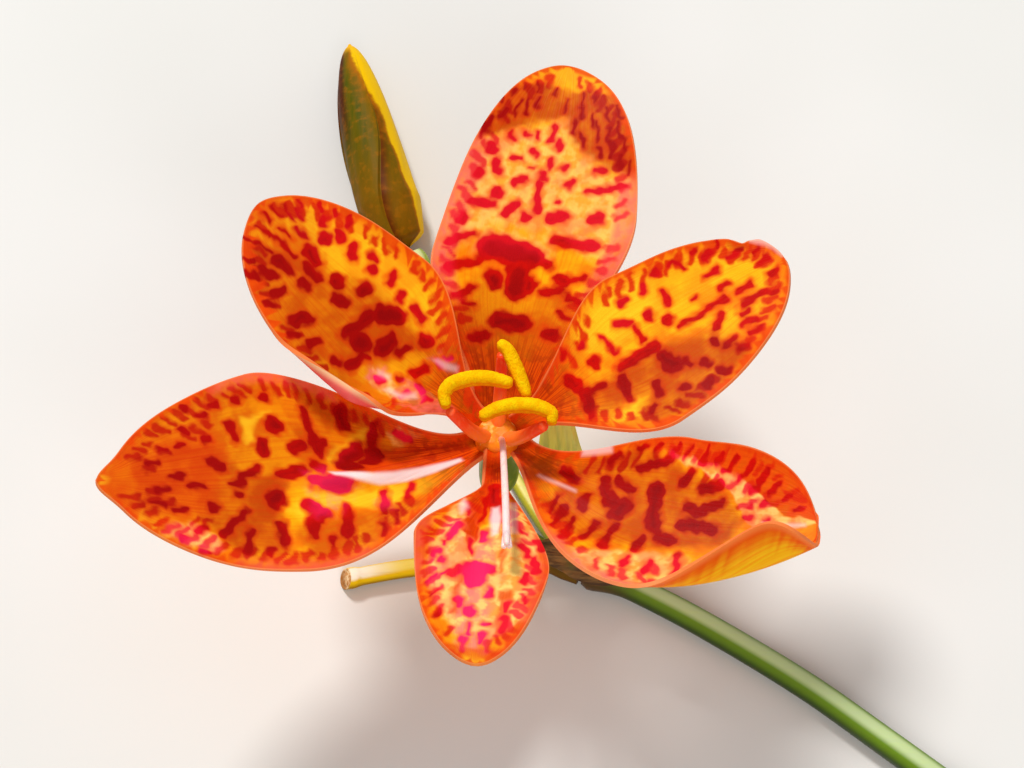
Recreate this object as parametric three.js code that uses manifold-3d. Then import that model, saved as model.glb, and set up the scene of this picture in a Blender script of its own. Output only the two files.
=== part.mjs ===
// A cut bramble lily: one open bloom of six spotted tepals, a closed bud and a spent flower stalk on one green
// stem, lying on a flat surface with the bloom facing up.
// Millimetres, +Z up. The origin is the flat spot under the stem's knuckle, where the three flower stalks branch.

import * as THREE from "three";
import { mergeVertices } from "three/addons/utils/BufferGeometryUtils.js";
import Module from "manifold-3d";

const wasm = await Module();
wasm.setup();

// Driving dimensions
const BLOOM_CENTRE = new THREE.Vector3(-7.0, 2.9, 16.5); // where the midribs of the tepals meet
const TEPAL_THICKNESS = 0.7;
const BRACT_THICKNESS = 0.6;
const SEAT_GAP = 0.3; // between a piece and what carries it
const STEM_RADIUS = 0.95;
const STEM_CUT_RADIUS = 1.1;
const KNUCKLE_RADIUS = 1.45;
const STALK_START_RADIUS = 0.5; // the three stalks leave the knuckle side by side
const STALK_CIRCLE = 0.78; // distance of their centres from the stem's own line
const HUB_RADIUS = 1.5;
const HUB_TOP = 1.45; // above the bloom's centre
const HUB_FOOT = -1.8;
const OVARY_LENGTH = 5.4;
const OVARY_RADIUS = 1.75;
const OUTER_SEAT = { radius: 2.12, height: 0 };
const INNER_SEAT = { radius: 2.0, height: 0.95 };
const FILAMENT_BASE_RADIUS = 0.38;
const FILAMENT_TIP_RADIUS = 0.24;
const FILAMENT_FOOT = 1.05; // distance of a filament's foot from the bloom's axis
const ANTHER_RADIUS = 0.56;
const STYLE_RADIUS = 0.3;
const BUD_RADIUS = 2.5;
const BUD_HEIGHT = 2.35; // of the bud's own line above the surface, so that its belly lies on it

// The stem's line from the knuckle to the cut end
const STEM_LINE = [
  [-0.6, 0.2, 1.36],
  [1.9, -0.75, 1.2],
  [7.5, -3.85, 1.05],
  [14.6, -8.6, 1.1],
  [20.1, -12.9, 1.1],
  [28.0, -19.4, 1.15],
  [35.0, -25.6, 1.1],
  [40.5, -30.8, 1.05],
];

// The stalk that carries the bloom: out of the knuckle, then up to the ovary
const BLOOM_STALK_LINE = [
  [-3.7, 1.4, 2.75],
  [-5.7, 2.3, 4.1],
  [-6.8, 2.8, 6.2],
  [-7.0, 2.9, 7.7],
  [-7.0, 2.9, 8.7],
];

// The stalk that carries the bud, lying on the surface
const BUD_STALK_LINE = [
  [-3.0, 2.9, 0.9],
  [-5.6, 7.6, 0.72],
  [-8.9, 14.6, 0.68],
  [-11.5, 21.4, 0.72],
  [-12.5, 24.2, 0.9],
];

// The stalk that has dropped its flower, with a collar at its scar
const SPENT_STALK_LINE = [
  [-3.9, 0.85, 0.86],
  [-8.0, 1.0, 0.8],
  [-13.2, 0.6, 0.78],
  [-18.0, -0.3, 0.76],
];

const BUD_LINE = [
  [-13.65, 26.6, 1.8],
  [-14.65, 28.6, 2.25],
  [-15.6, 31.3, BUD_HEIGHT],
  [-16.5, 34.9, BUD_HEIGHT],
  [-17.5, 39.5, BUD_HEIGHT],
  [-18.35, 44.2, 2.2],
];

// A tepal is described by its direction from the bloom's axis, its length, how steeply it rises at its foot,
// middle and tip, how far it turns sideways on the way, the half width of its narrow claw, and the two halves
// of its outline. The claw widens to half from one share of the length (from) to another (reach); belly and
// tip say how late and how roundly the blade closes.
// cup is how far its margins rise, as a share of the half width, at foot, middle and tip. A fold turns the
// margin up on one side (1 is the left one, seen from the bloom's centre) round a radius, past a share of the
// half width that runs from its first start to its second, and a ridge lifts a strip beside the midrib.
const TEPALS = [
  {
    name: "outer_tepal_top",
    seat: OUTER_SEAT,
    azimuth: 79,
    length: 25.75,
    pitch: [30, 17, 0],
    sway: 0,
    claw: 1.1,
    left: { half: 7.1, from: 0, reach: 0.415, belly: 2.65 },
    right: { half: 7.35, from: 0, reach: 0.585, belly: 3.85 },
    tip: 0.47,
    cup: [0.5, 0.135, 0.235],
    ruffle: { height: 0.36, waves: 2.2, phase: 0.43 },
    folds: [],
    ridges: [],
  },
  {
    name: "outer_tepal_right",
    seat: OUTER_SEAT,
    azimuth: -26.4,
    length: 24.35,
    pitch: [22, 19.5, 14.5],
    sway: 60,
    claw: 0.85,
    left: { half: 6.3, from: -0.02, reach: 0.56, belly: 6.7 },
    right: { half: 6.35, from: -0.02, reach: 0.52, belly: 11.8 },
    tip: 0.38,
    cup: [0.5, 0.28, 0.25],
    ruffle: { height: 0.45, waves: 1.6, phase: 0.73 },
    folds: [{ side: -1, from: 0.46, to: 1.2, start: [0.98, -0.19], turn: 145, radius: 0.9 }],
    ridges: [{ at: -0.6, height: 0.45, width: 0.9, from: 0.0, to: 0.45 }],
  },
  {
    name: "outer_tepal_left",
    seat: OUTER_SEAT,
    azimuth: 195.5,
    length: 26.65,
    pitch: [20, 17, 15],
    sway: -21.5,
    claw: 0.9,
    left: { half: 8.4, from: -0.08, reach: 0.545, belly: 2.8 },
    right: { half: 9.25, from: 0, reach: 0.577, belly: 3.15 },
    tip: 0.6,
    cup: [0.55, 0.045, 0.06],
    ruffle: { height: 0.38, waves: 2.25, phase: 0.94 },
    folds: [],
    ridges: [{ at: 0.9, height: 0.75, width: 0.8, from: 0.0, to: 0.58 }],
  },
  {
    name: "inner_tepal_right",
    seat: INNER_SEAT,
    azimuth: 25,
    length: 21.65,
    pitch: [34, 20, 20],
    sway: 13,
    claw: 0.85,
    left: { half: 6.1, from: 0, reach: 0.486, belly: 3.95 },
    right: { half: 6.8, from: 0, reach: 0.476, belly: 2.9 },
    tip: 0.525,
    cup: [0.45, 0.13, 0.27],
    ruffle: { height: 0.2, waves: 2.6, phase: 0.175 },
    folds: [{ side: 1, from: 0.8, to: 1.1, start: [0.65, 0.44], turn: 54, radius: 1.0 }],
    ridges: [],
  },
  {
    name: "inner_tepal_bottom",
    seat: INNER_SEAT,
    azimuth: -93.9,
    length: 19.8,
    pitch: [24, 20, 11],
    sway: -3.2,
    claw: 0.75,
    left: { half: 4.7, from: 0.095, reach: 0.605, belly: 3.35 },
    right: { half: 5.2, from: 0.15, reach: 0.46, belly: 3.75 },
    tip: 0.48,
    cup: [0.5, 0.1, 0.27],
    ruffle: { height: 0.5, waves: 1.2, phase: 1.0 },
    folds: [],
    ridges: [
      { at: -1.9, height: 0.5, width: 0.7, from: 0.05, to: 0.8 },
      { at: 1.8, height: 0.5, width: 0.7, from: 0.05, to: 0.8 },
    ],
  },
  {
    name: "inner_tepal_left",
    seat: INNER_SEAT,
    azimuth: 140.5,
    length: 21.25,
    pitch: [34, 21.5, 12],
    sway: -4.5,
    claw: 0.85,
    left: { half: 7.35, from: 0, reach: 0.38, belly: 3.4 },
    right: { half: 5.75, from: 0, reach: 0.488, belly: 3.4 },
    tip: 0.525,
    cup: [0.45, 0.12, 0.16],
    ruffle: { height: 0.45, waves: 1.7, phase: 0.05 },
    folds: [{ side: 1, from: 0.145, to: 0.714, start: [0.7, 0.79], turn: 105, radius: 0.8 }],
    ridges: [],
  },
];
const TEPAL_ROWS = 18;
const TEPAL_COLUMNS = 12;

// Each stamen stands over an outer tepal. Its anther is a curved sausage on the filament's tip; its points are
// measured from that tip, to the right and upwards in the plane that the bloom turns to a viewer in front of it.
const VIEW_TILT = THREE.MathUtils.degToRad(62);
const STAMENS = [
  {
    name: "back",
    azimuth: 84,
    reach: 3.5,
    height: 6.0,
    anther: [
      [0.0, 0.7],
      [0.45, 0.25],
      [0.85, -0.6],
      [1.3, -1.7],
      [1.65, -2.6],
    ],
    forward: 1.4,
  },
  {
    name: "left",
    azimuth: 196,
    reach: 3.3,
    height: 5.9,
    anther: [
      [-0.35, 0.6],
      [-0.45, 1.25],
      [0.0, 1.9],
      [1.2, 2.3],
      [2.6, 2.35],
      [3.95, 2.05],
    ],
    forward: 0.1,
  },
  {
    name: "right",
    azimuth: -27,
    reach: 3.6,
    height: 5.2,
    anther: [
      [0.6, 0.45],
      [0.5, 0.95],
      [-0.6, 1.4],
      [-2.0, 1.45],
      [-3.2, 1.2],
      [-4.1, 0.75],
    ],
    forward: 0.3,
  },
];

// The style leans out over the bottom tepal
const STYLE_LINE = [
  [0.1, 0.0, 1.75],
  [0.12, -0.15, 2.3],
  [0.25, -1.4, 3.4],
  [0.45, -4.6, 5.1],
  [0.7, -8.4, 6.9],
  [0.8, -11.2, 7.7],
];

const DRY_BRACT_LINE = [
  [2.5, -0.95, 3.2],
  [0.5, -0.45, 3.75],
  [-2.2, 0.05, 4.2],
  [-4.7, 0.35, 5.1],
];
const GREEN_BRACT_LINE = [
  [0.3, 2.15, 2.2],
  [-0.8, 3.7, 3.7],
  [-1.7, 6.0, 6.1],
  [-2.1, 8.8, 8.5],
];

const COLOURS = {
  outer_tepal: 0xee7a1e,
  inner_tepal: 0xf4922a,
  hub: 0xf0a040,
  filament: 0xf05a38,
  anther: 0xf8b808,
  style: 0xf8dcd8,
  ovary: 0x7d9a34,
  stem: 0x5f8030,
  stalk: 0xa8b038,
  spent: 0xd8cc48,
  bud: 0x8c7a1e,
  dry_bract: 0x6a4a1c,
  green_bract: 0x94a430,
};

const part = new THREE.Group();
part.name = "bramble_lily";

function addPiece(name, geometry, colour, roughness = 0.5) {
  const material = new THREE.MeshStandardMaterial({ color: colour, roughness, metalness: 0 });
  const mesh = new THREE.Mesh(geometry, material);
  mesh.name = name;
  part.add(mesh);
}

// A geometry with positions only, each shared vertex once, and no collapsed triangles
function welded(geometry) {
  const bare = new THREE.BufferGeometry().setAttribute("position", geometry.getAttribute("position").clone());
  if (geometry.index) bare.setIndex(geometry.index.clone());
  const merged = mergeVertices(bare, 1e-4);
  const kept = [];
  const index = merged.index.array;
  for (let i = 0; i < index.length; i += 3) {
    const [a, b, c] = [index[i], index[i + 1], index[i + 2]];
    if (a !== b && b !== c && a !== c) kept.push(a, b, c);
  }
  merged.setIndex(kept);
  return merged;
}

function toSolid(geometry) {
  const g = welded(geometry);
  return new wasm.Manifold(
    new wasm.Mesh({
      numProp: 3,
      vertProperties: new Float32Array(g.getAttribute("position").array),
      triVerts: new Uint32Array(g.index.array),
    }),
  );
}

function fromSolid(solid) {
  const mesh = solid.getMesh();
  return new THREE.BufferGeometry()
    .setAttribute("position", new THREE.BufferAttribute(new Float32Array(mesh.vertProperties), 3))
    .setIndex(new THREE.BufferAttribute(new Uint32Array(mesh.triVerts), 1));
}

// Takes off what would lie under the surface, which leaves a small flat spot to rest on
function restedOnSurface(geometry) {
  const depth = 10;
  const slab = new THREE.BoxGeometry(200, 200, depth).translate(0, 0, -depth / 2);
  return fromSolid(toSolid(geometry).subtract(toSolid(slab)));
}

function curveThrough(points, from = new THREE.Vector3()) {
  return new THREE.CatmullRomCurve3(points.map(([x, y, z]) => new THREE.Vector3(x, y, z).add(from)));
}

// A turned shape bent along a curve. radiusAt gives its radius along the curve, from 0 to 1. A closed end is
// flat, or domed by the given share of its radius. relief swells the section by angle and place along.
function bentTurning(curve, radiusAt, { sides = 10, rings = 20, domeStart = 0, domeEnd = 0, relief } = {}) {
  const length = curve.getLength();
  const profile = [[0, 0]];
  const domeSteps = [0.35, 0.75];
  if (domeStart > 0) {
    profile[0] = [0, -domeStart * radiusAt(0)];
    for (const share of domeSteps) {
      profile.push([radiusAt(0) * share, -domeStart * radiusAt(0) * Math.sqrt(1 - share * share)]);
    }
  }
  for (let i = 0; i <= rings; i++) profile.push([radiusAt(i / rings), (length * i) / rings]);
  if (domeEnd > 0) {
    for (const share of [...domeSteps].reverse()) {
      profile.push([radiusAt(1) * share, length + domeEnd * radiusAt(1) * Math.sqrt(1 - share * share)]);
    }
    profile.push([0, length + domeEnd * radiusAt(1)]);
  } else {
    profile.push([0, length]);
  }
  const turned = new THREE.LatheGeometry(
    profile.map(([r, y]) => new THREE.Vector2(r, y)),
    sides,
  );
  const frameCount = 240;
  const frames = curve.computeFrenetFrames(frameCount, false);
  const at = turned.getAttribute("position");
  const v = new THREE.Vector3();
  for (let i = 0; i < at.count; i++) {
    v.fromBufferAttribute(at, i);
    const t = THREE.MathUtils.clamp(v.y / length, 0, 1);
    const k = Math.round(t * frameCount);
    const swell = relief ? relief(Math.atan2(v.z, v.x), t) : 1;
    const p = curve
      .getPointAt(t)
      .addScaledVector(frames.tangents[k], v.y - t * length)
      .addScaledVector(frames.normals[k], v.x * swell)
      .addScaledVector(frames.binormals[k], v.z * swell);
    at.setXYZ(i, p.x, p.y, p.z);
  }
  const shape = welded(turned);
  if (toSolid(shape).volume() < 0) flipFaces(shape);
  return shape;
}

function flipFaces(geometry) {
  const index = geometry.index.array;
  for (let i = 0; i < index.length; i += 3) [index[i + 1], index[i + 2]] = [index[i + 2], index[i + 1]];
}

// Gives an open sheet a thickness: a copy on each side, split into the same triangles, and a rim between them.
// offsets holds, for each point of the sheet, the step from its middle to its upper face.
function thickened(sheet, offsets) {
  const at = sheet.getAttribute("position");
  const count = at.count;
  const points = new Float32Array(count * 6);
  for (let i = 0; i < count; i++) {
    const middle = new THREE.Vector3().fromBufferAttribute(at, i);
    middle.clone().add(offsets[i]).toArray(points, i * 3);
    middle.clone().sub(offsets[i]).toArray(points, (count + i) * 3);
  }
  const index = sheet.index.array;
  const faces = [];
  const edges = new Map();
  for (let i = 0; i < index.length; i += 3) {
    const corners = [index[i], index[i + 1], index[i + 2]];
    faces.push(...corners, corners[0] + count, corners[2] + count, corners[1] + count);
    for (let j = 0; j < 3; j++) {
      const [a, b] = [corners[j], corners[(j + 1) % 3]];
      edges.set(`${a},${b}`, [a, b]);
    }
  }
  for (const [a, b] of edges.values()) {
    if (!edges.has(`${b},${a}`)) faces.push(b, a, a + count, b, a + count, b + count);
  }
  const shape = new THREE.BufferGeometry()
    .setAttribute("position", new THREE.BufferAttribute(points, 3))
    .setIndex(faces);
  const blade = welded(shape);
  if (toSolid(blade).volume() < 0) flipFaces(blade);
  return blade;
}

function smoothStep(x) {
  return THREE.MathUtils.smoothstep(x, 0, 1);
}

// A value that runs smoothly through its foot, middle and tip values
function throughThree([foot, middle, tip], t) {
  return foot * (1 - t) * (1 - 2 * t) + 4 * middle * t * (1 - t) + tip * t * (2 * t - 1);
}

// 1 in the middle of a stretch of the blade and 0 past its ends
function stretch(t, from, to) {
  const share = (t - from) / (to - from);
  return share <= 0 || share >= 1 ? 0 : Math.sin(Math.PI * share) ** 2;
}

// The blade's half width on one side at t, and spread, the half width it would have without its closing tip
function tepalHalfWidth(tepal, t, side) {
  const { half, from, reach, belly } = side > 0 ? tepal.left : tepal.right;
  const spread = THREE.MathUtils.lerp(tepal.claw, half, smoothStep((t - from) / (reach - from)));
  return { spread, halfWidth: spread * Math.max(1 - t ** belly, 0) ** tepal.tip };
}

// The midrib as a row of points, each with its direction
function midrib(tepal, steps = 160) {
  const azimuth = THREE.MathUtils.degToRad(tepal.azimuth);
  const point = new THREE.Vector3(
    Math.cos(azimuth) * tepal.seat.radius,
    Math.sin(azimuth) * tepal.seat.radius,
    tepal.seat.height,
  ).add(BLOOM_CENTRE);
  const direction = (t) => {
    const pitch = THREE.MathUtils.degToRad(throughThree(tepal.pitch, t));
    const turn = THREE.MathUtils.degToRad(tepal.azimuth + tepal.sway * (t - 0.5));
    return new THREE.Vector3(
      Math.cos(pitch) * Math.cos(turn),
      Math.cos(pitch) * Math.sin(turn),
      Math.sin(pitch),
    );
  };
  const points = [point.clone()];
  for (let i = 0; i < steps; i++) {
    point.addScaledVector(direction((i + 0.5) / steps), tepal.length / steps);
    points.push(point.clone());
  }
  const pointAt = (t) => {
    const place = THREE.MathUtils.clamp(t, 0, 1) * steps;
    const i = Math.min(Math.floor(place), steps - 1);
    return points[i].clone().lerp(points[i + 1], place - i);
  };
  return { pointAt, direction };
}

// Carries a distance from the midrib round a folded margin: how far it goes sideways, and how far up
function foldedMargin(distance, start, turn, radius) {
  const past = distance - start;
  if (past <= 0 || turn <= 0) return [distance, 0];
  const arc = radius * turn;
  if (past < arc) {
    const angle = past / radius;
    return [start + radius * Math.sin(angle), radius * (1 - Math.cos(angle))];
  }
  return [
    start + radius * Math.sin(turn) + (past - arc) * Math.cos(turn),
    radius * (1 - Math.cos(turn)) + (past - arc) * Math.sin(turn),
  ];
}

// The blade's cross section at t: how far sideways and how far up the point is that lies across, from -1 at
// the right margin, seen from the bloom's centre, to 1 at the left one
function tepalSection(tepal, t, across) {
  const side = across >= 0 ? 1 : -1;
  const { spread, halfWidth } = tepalHalfWidth(tepal, t, side);
  let sideways = Math.abs(across) * halfWidth;
  const outward = sideways / spread;
  let up = throughThree(tepal.cup, t) * spread * outward ** 2;
  const wave = Math.sin(2 * Math.PI * (tepal.ruffle.waves * t + tepal.ruffle.phase) + side);
  up += tepal.ruffle.height * outward ** 3 * wave * stretch(t, 0.15, 1.15);
  for (const ridge of tepal.ridges) {
    const away = (side * sideways - ridge.at * Math.min(1, spread / 3)) / ridge.width;
    up += ridge.height * Math.exp(-away * away) * stretch(t, ridge.from, ridge.to);
  }
  for (const fold of tepal.folds) {
    if (fold.side !== side) continue;
    const share = THREE.MathUtils.inverseLerp(fold.from, fold.to, t);
    const start = THREE.MathUtils.lerp(...fold.start, THREE.MathUtils.clamp(share, 0, 1));
    const turn = THREE.MathUtils.degToRad(fold.turn) * stretch(t, fold.from, fold.to);
    const [out, lift] = foldedMargin(sideways, start * spread, turn, fold.radius);
    sideways = out;
    up += lift;
  }
  return new THREE.Vector2(side * sideways, up);
}

function tepalBlade(tepal) {
  const rib = midrib(tepal);
  const sheet = new THREE.PlaneGeometry(2, 1, TEPAL_COLUMNS, TEPAL_ROWS);
  const at = sheet.getAttribute("position");
  const offsets = [];
  for (let i = 0; i < at.count; i++) {
    const across = at.getX(i);
    const t = 1 - (0.5 - at.getY(i)) ** 1.6; // rows crowd towards the round tip
    const section = tepalSection(tepal, t, across);
    const [nearTip, reach] = [Math.min(t, 0.999), 0.02];
    const slope = tepalSection(tepal, nearTip, Math.min(across + reach, 1)).sub(
      tepalSection(tepal, nearTip, Math.max(across - reach, -1)),
    );
    const lean = t < 1 ? Math.atan2(slope.y, slope.x) : 0;
    const along = rib.direction(t);
    const turn = THREE.MathUtils.degToRad(tepal.azimuth + tepal.sway * (t - 0.5));
    const left = new THREE.Vector3(-Math.sin(turn), Math.cos(turn), 0);
    const normal = new THREE.Vector3().crossVectors(along, left);
    const p = rib.pointAt(t).addScaledVector(left, section.x).addScaledVector(normal, section.y);
    at.setXYZ(i, p.x, p.y, p.z);
    offsets.push(
      normal
        .clone()
        .multiplyScalar(Math.cos(lean))
        .addScaledVector(left, -Math.sin(lean))
        .multiplyScalar(TEPAL_THICKNESS / 2),
    );
  }
  return thickened(sheet, offsets);
}

// The short cup on the ovary that the tepals, the stamens and the style stand on
function hub() {
  const profile = [
    [0, HUB_FOOT],
    [0.85, HUB_FOOT],
    [1.15, HUB_FOOT + 0.7],
    [HUB_RADIUS, -0.5],
    [HUB_RADIUS, HUB_TOP - 0.15],
    [HUB_RADIUS - 0.2, HUB_TOP],
    [0, HUB_TOP],
  ];
  const turned = new THREE.LatheGeometry(
    profile.map(([r, y]) => new THREE.Vector2(r, y)),
    24,
  );
  turned.rotateX(Math.PI / 2).translate(...BLOOM_CENTRE);
  return welded(turned);
}

function ovary() {
  const top = BLOOM_CENTRE.clone().add(new THREE.Vector3(0, 0, HUB_FOOT - SEAT_GAP));
  const foot = top.clone().add(new THREE.Vector3(0, 0, -OVARY_LENGTH));
  const radiusAt = (t) => OVARY_RADIUS * (0.42 + 0.58 * Math.sin(Math.PI * Math.min(0.12 + 0.78 * t, 1)) ** 0.9);
  const threeLobes = (angle) => 1 + 0.09 * Math.cos(3 * angle);
  const line = new THREE.LineCurve3(foot, top);
  return bentTurning(line, radiusAt, { sides: 18, rings: 10, relief: threeLobes });
}

function taper(from, to) {
  return (t) => THREE.MathUtils.lerp(from, to, t);
}

function filament(stamen) {
  const azimuth = THREE.MathUtils.degToRad(stamen.azimuth);
  const outwards = new THREE.Vector3(Math.cos(azimuth), Math.sin(azimuth), 0);
  const place = (reach, height) => BLOOM_CENTRE.clone().addScaledVector(outwards, reach).setZ(BLOOM_CENTRE.z + height);
  const curve = new THREE.CatmullRomCurve3([
    place(FILAMENT_FOOT, HUB_TOP + SEAT_GAP),
    place(FILAMENT_FOOT + 0.04, HUB_TOP + SEAT_GAP + 0.5),
    place(FILAMENT_FOOT + (stamen.reach - FILAMENT_FOOT) * 0.35, HUB_TOP + stamen.height * 0.28),
    place(stamen.reach, stamen.height),
  ]);
  return bentTurning(curve, taper(FILAMENT_BASE_RADIUS, FILAMENT_TIP_RADIUS), { sides: 8, rings: 8 });
}

function anther(stamen) {
  const azimuth = THREE.MathUtils.degToRad(stamen.azimuth);
  const tip = new THREE.Vector3(
    Math.cos(azimuth) * stamen.reach,
    Math.sin(azimuth) * stamen.reach,
    stamen.height,
  ).add(BLOOM_CENTRE);
  const up = new THREE.Vector3(0, Math.sin(VIEW_TILT), Math.cos(VIEW_TILT));
  const towards = new THREE.Vector3(0, -Math.cos(VIEW_TILT), Math.sin(VIEW_TILT));
  const points = stamen.anther.map(([right, above]) =>
    tip
      .clone()
      .add(new THREE.Vector3(right, 0, 0))
      .addScaledVector(up, above)
      .addScaledVector(towards, stamen.forward),
  );
  const radiusAt = (t) => ANTHER_RADIUS * (0.72 + 0.28 * Math.sin(Math.PI * t) ** 0.6);
  const twoPollenSacs = (angle) => 1 + 0.1 * Math.cos(2 * angle);
  return bentTurning(new THREE.CatmullRomCurve3(points), radiusAt, {
    sides: 10,
    rings: 14,
    domeStart: 0.8,
    domeEnd: 0.8,
    relief: twoPollenSacs,
  });
}

// The style ends in three short lobes, sunk into its tip
function style() {
  const curve = curveThrough(STYLE_LINE, BLOOM_CENTRE);
  let solid = toSolid(bentTurning(curve, taper(STYLE_RADIUS, STYLE_RADIUS * 1.35), { sides: 8, rings: 16 }));
  const tip = curve.getPointAt(1);
  const ahead = curve.getTangentAt(1);
  const across = new THREE.Vector3().crossVectors(ahead, new THREE.Vector3(0, 0, 1)).normalize();
  const above = new THREE.Vector3().crossVectors(across, ahead).normalize();
  for (let i = 0; i < 3; i++) {
    const angle = (i * 2 * Math.PI) / 3 + Math.PI / 2;
    const outwards = across.clone().multiplyScalar(Math.cos(angle)).addScaledVector(above, Math.sin(angle));
    const lobe = new THREE.CatmullRomCurve3([
      tip.clone().addScaledVector(ahead, -0.5).addScaledVector(outwards, 0.08),
      tip.clone().addScaledVector(ahead, 0.2).addScaledVector(outwards, 0.2),
      tip.clone().addScaledVector(ahead, 0.7).addScaledVector(outwards, 0.4),
    ]);
    const lobeRadius = (t) => 0.3 + 0.06 * Math.sin(Math.PI * t);
    solid = solid.add(toSolid(bentTurning(lobe, lobeRadius, { sides: 8, rings: 5, domeEnd: 0.7 })));
  }
  return fromSolid(solid);
}

// Three tepals rolled round each other: each overlaps the next with a step that winds slowly up the bud
function bud() {
  const radiusAt = (t) => {
    const shoulder = Math.min(1, 0.36 + 1.5 * Math.sqrt(Math.max(t, 0) * 0.9));
    return BUD_RADIUS * shoulder * Math.max(1 - t ** 3.5, 0.012) ** 0.58;
  };
  const rolledTepals = (angle, t) => {
    const turn = (3 * (angle + 0.9 * t)) / (2 * Math.PI);
    const step = turn - Math.floor(turn);
    return 1 - 0.1 * step * smoothStep(t * 6) * smoothStep((1 - t) * 8);
  };
  return restedOnSurface(
    bentTurning(curveThrough(BUD_LINE), radiusAt, { sides: 24, rings: 22, domeEnd: 1, relief: rolledTepals }),
  );
}

// The green swelling that joins the bud to its stalk
function budOvary() {
  const line = new THREE.CatmullRomCurve3([
    new THREE.Vector3(-12.62, 24.55, 0.98),
    new THREE.Vector3(-12.92, 25.35, 1.3),
    new THREE.Vector3(-13.44, 26.33, 1.65),
  ]);
  const radiusAt = (t) => 0.62 + 0.36 * Math.sin(Math.PI * (0.1 + 0.75 * t));
  return bentTurning(line, radiusAt, { sides: 12, rings: 6 });
}

function stem() {
  const curve = curveThrough(STEM_LINE);
  const radiusAt = (t) => {
    const plain = THREE.MathUtils.lerp(STEM_RADIUS, STEM_CUT_RADIUS, t);
    return plain + (KNUCKLE_RADIUS - STEM_RADIUS) * (1 - smoothStep(t * 14));
  };
  return restedOnSurface(bentTurning(curve, radiusAt, { sides: 12, rings: 44 }));
}

// A stalk leaves the knuckle at its own place on a small circle round the stem's line, beside the two others
function stalkFromKnuckle(place, line, radiusAt, options) {
  const back = new THREE.Vector3(-STEM_LINE[1][0], -STEM_LINE[1][1], 0).normalize();
  const sideways = new THREE.Vector3(-back.y, back.x, 0);
  const angle = THREE.MathUtils.degToRad(place);
  const foot = new THREE.Vector3(...STEM_LINE[0])
    .addScaledVector(sideways, Math.cos(angle) * STALK_CIRCLE)
    .add(new THREE.Vector3(0, 0, Math.sin(angle) * STALK_CIRCLE))
    .addScaledVector(back, SEAT_GAP);
  const run = foot.clone().addScaledVector(back, 1.1);
  const points = line.map(([x, y, z]) => new THREE.Vector3(x, y, z));
  return bentTurning(new THREE.CatmullRomCurve3([foot, run, ...points]), radiusAt, options);
}

function bloomStalk() {
  return stalkFromKnuckle(90, BLOOM_STALK_LINE, taper(STALK_START_RADIUS, 0.62), { sides: 10, rings: 20 });
}

function budStalk() {
  return stalkFromKnuckle(210, BUD_STALK_LINE, taper(STALK_START_RADIUS, 0.56), { sides: 10, rings: 30 });
}

function spentStalk() {
  const radiusAt = (t) => {
    const collar = 0.12 * smoothStep((t - 0.93) * 25);
    return THREE.MathUtils.lerp(STALK_START_RADIUS, 0.68, smoothStep(t * 2)) + collar;
  };
  return restedOnSurface(stalkFromKnuckle(330, SPENT_STALK_LINE, radiusAt, { sides: 12, rings: 26 }));
}

// A narrow bract: a lance-shaped blade, hollowed across or keeled, along a line
function bract(line, halfWidth, hollow, openTowards) {
  const curve = curveThrough(line);
  const sheet = new THREE.PlaneGeometry(2, 1, 6, 12);
  const at = sheet.getAttribute("position");
  const facing = new THREE.Vector3(...openTowards).normalize();
  const offsets = [];
  for (let i = 0; i < at.count; i++) {
    const across = at.getX(i);
    const t = at.getY(i) + 0.5;
    const along = curve.getTangentAt(t);
    const side = new THREE.Vector3().crossVectors(facing, along).normalize();
    const out = new THREE.Vector3().crossVectors(along, side).normalize();
    const spread = halfWidth * (0.55 + 0.45 * smoothStep(t * 3));
    const outward = across * Math.max(1 - t ** 2.2, 0) ** 0.8;
    const p = curve
      .getPointAt(t)
      .addScaledVector(side, outward * spread)
      .addScaledVector(out, hollow * spread * outward * outward);
    at.setXYZ(i, p.x, p.y, p.z);
    const lean = Math.atan(2 * hollow * outward);
    offsets.push(
      out
        .clone()
        .multiplyScalar(Math.cos(lean))
        .addScaledVector(side, -Math.sin(lean))
        .multiplyScalar(BRACT_THICKNESS / 2),
    );
  }
  return thickened(sheet, offsets);
}

addPiece("stem", stem(), COLOURS.stem, 0.45);
addPiece("bloom_stalk", bloomStalk(), COLOURS.stalk);
addPiece("bud_stalk", budStalk(), COLOURS.stalk);
addPiece("spent_stalk", spentStalk(), COLOURS.spent);
addPiece("bract_dry", bract(DRY_BRACT_LINE, 1.75, 0.42, [0.2, 0.25, -1]), COLOURS.dry_bract, 0.8);
addPiece("bract_green", bract(GREEN_BRACT_LINE, 1.8, 0.5, [-0.9, -0.3, 0.25]), COLOURS.green_bract);
addPiece("ovary", ovary(), COLOURS.ovary);
addPiece("hub", hub(), COLOURS.hub);
for (const tepal of TEPALS) {
  addPiece(tepal.name, tepalBlade(tepal), COLOURS[tepal.name.slice(0, "outer_tepal".length)]);
}
for (const stamen of STAMENS) {
  addPiece(`filament_${stamen.name}`, filament(stamen), COLOURS.filament);
  addPiece(`anther_${stamen.name}`, anther(stamen), COLOURS.anther, 0.9);
}
addPiece("style", style(), COLOURS.style);
addPiece("bud_ovary", budOvary(), COLOURS.ovary);
addPiece("bud", bud(), COLOURS.bud);

export default part;
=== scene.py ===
"""A cut bramble lily lying on a pale surface: an open bloom of six spotted tepals, a closed bud and a spent
flower stalk on one green stem."""

import math

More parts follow.
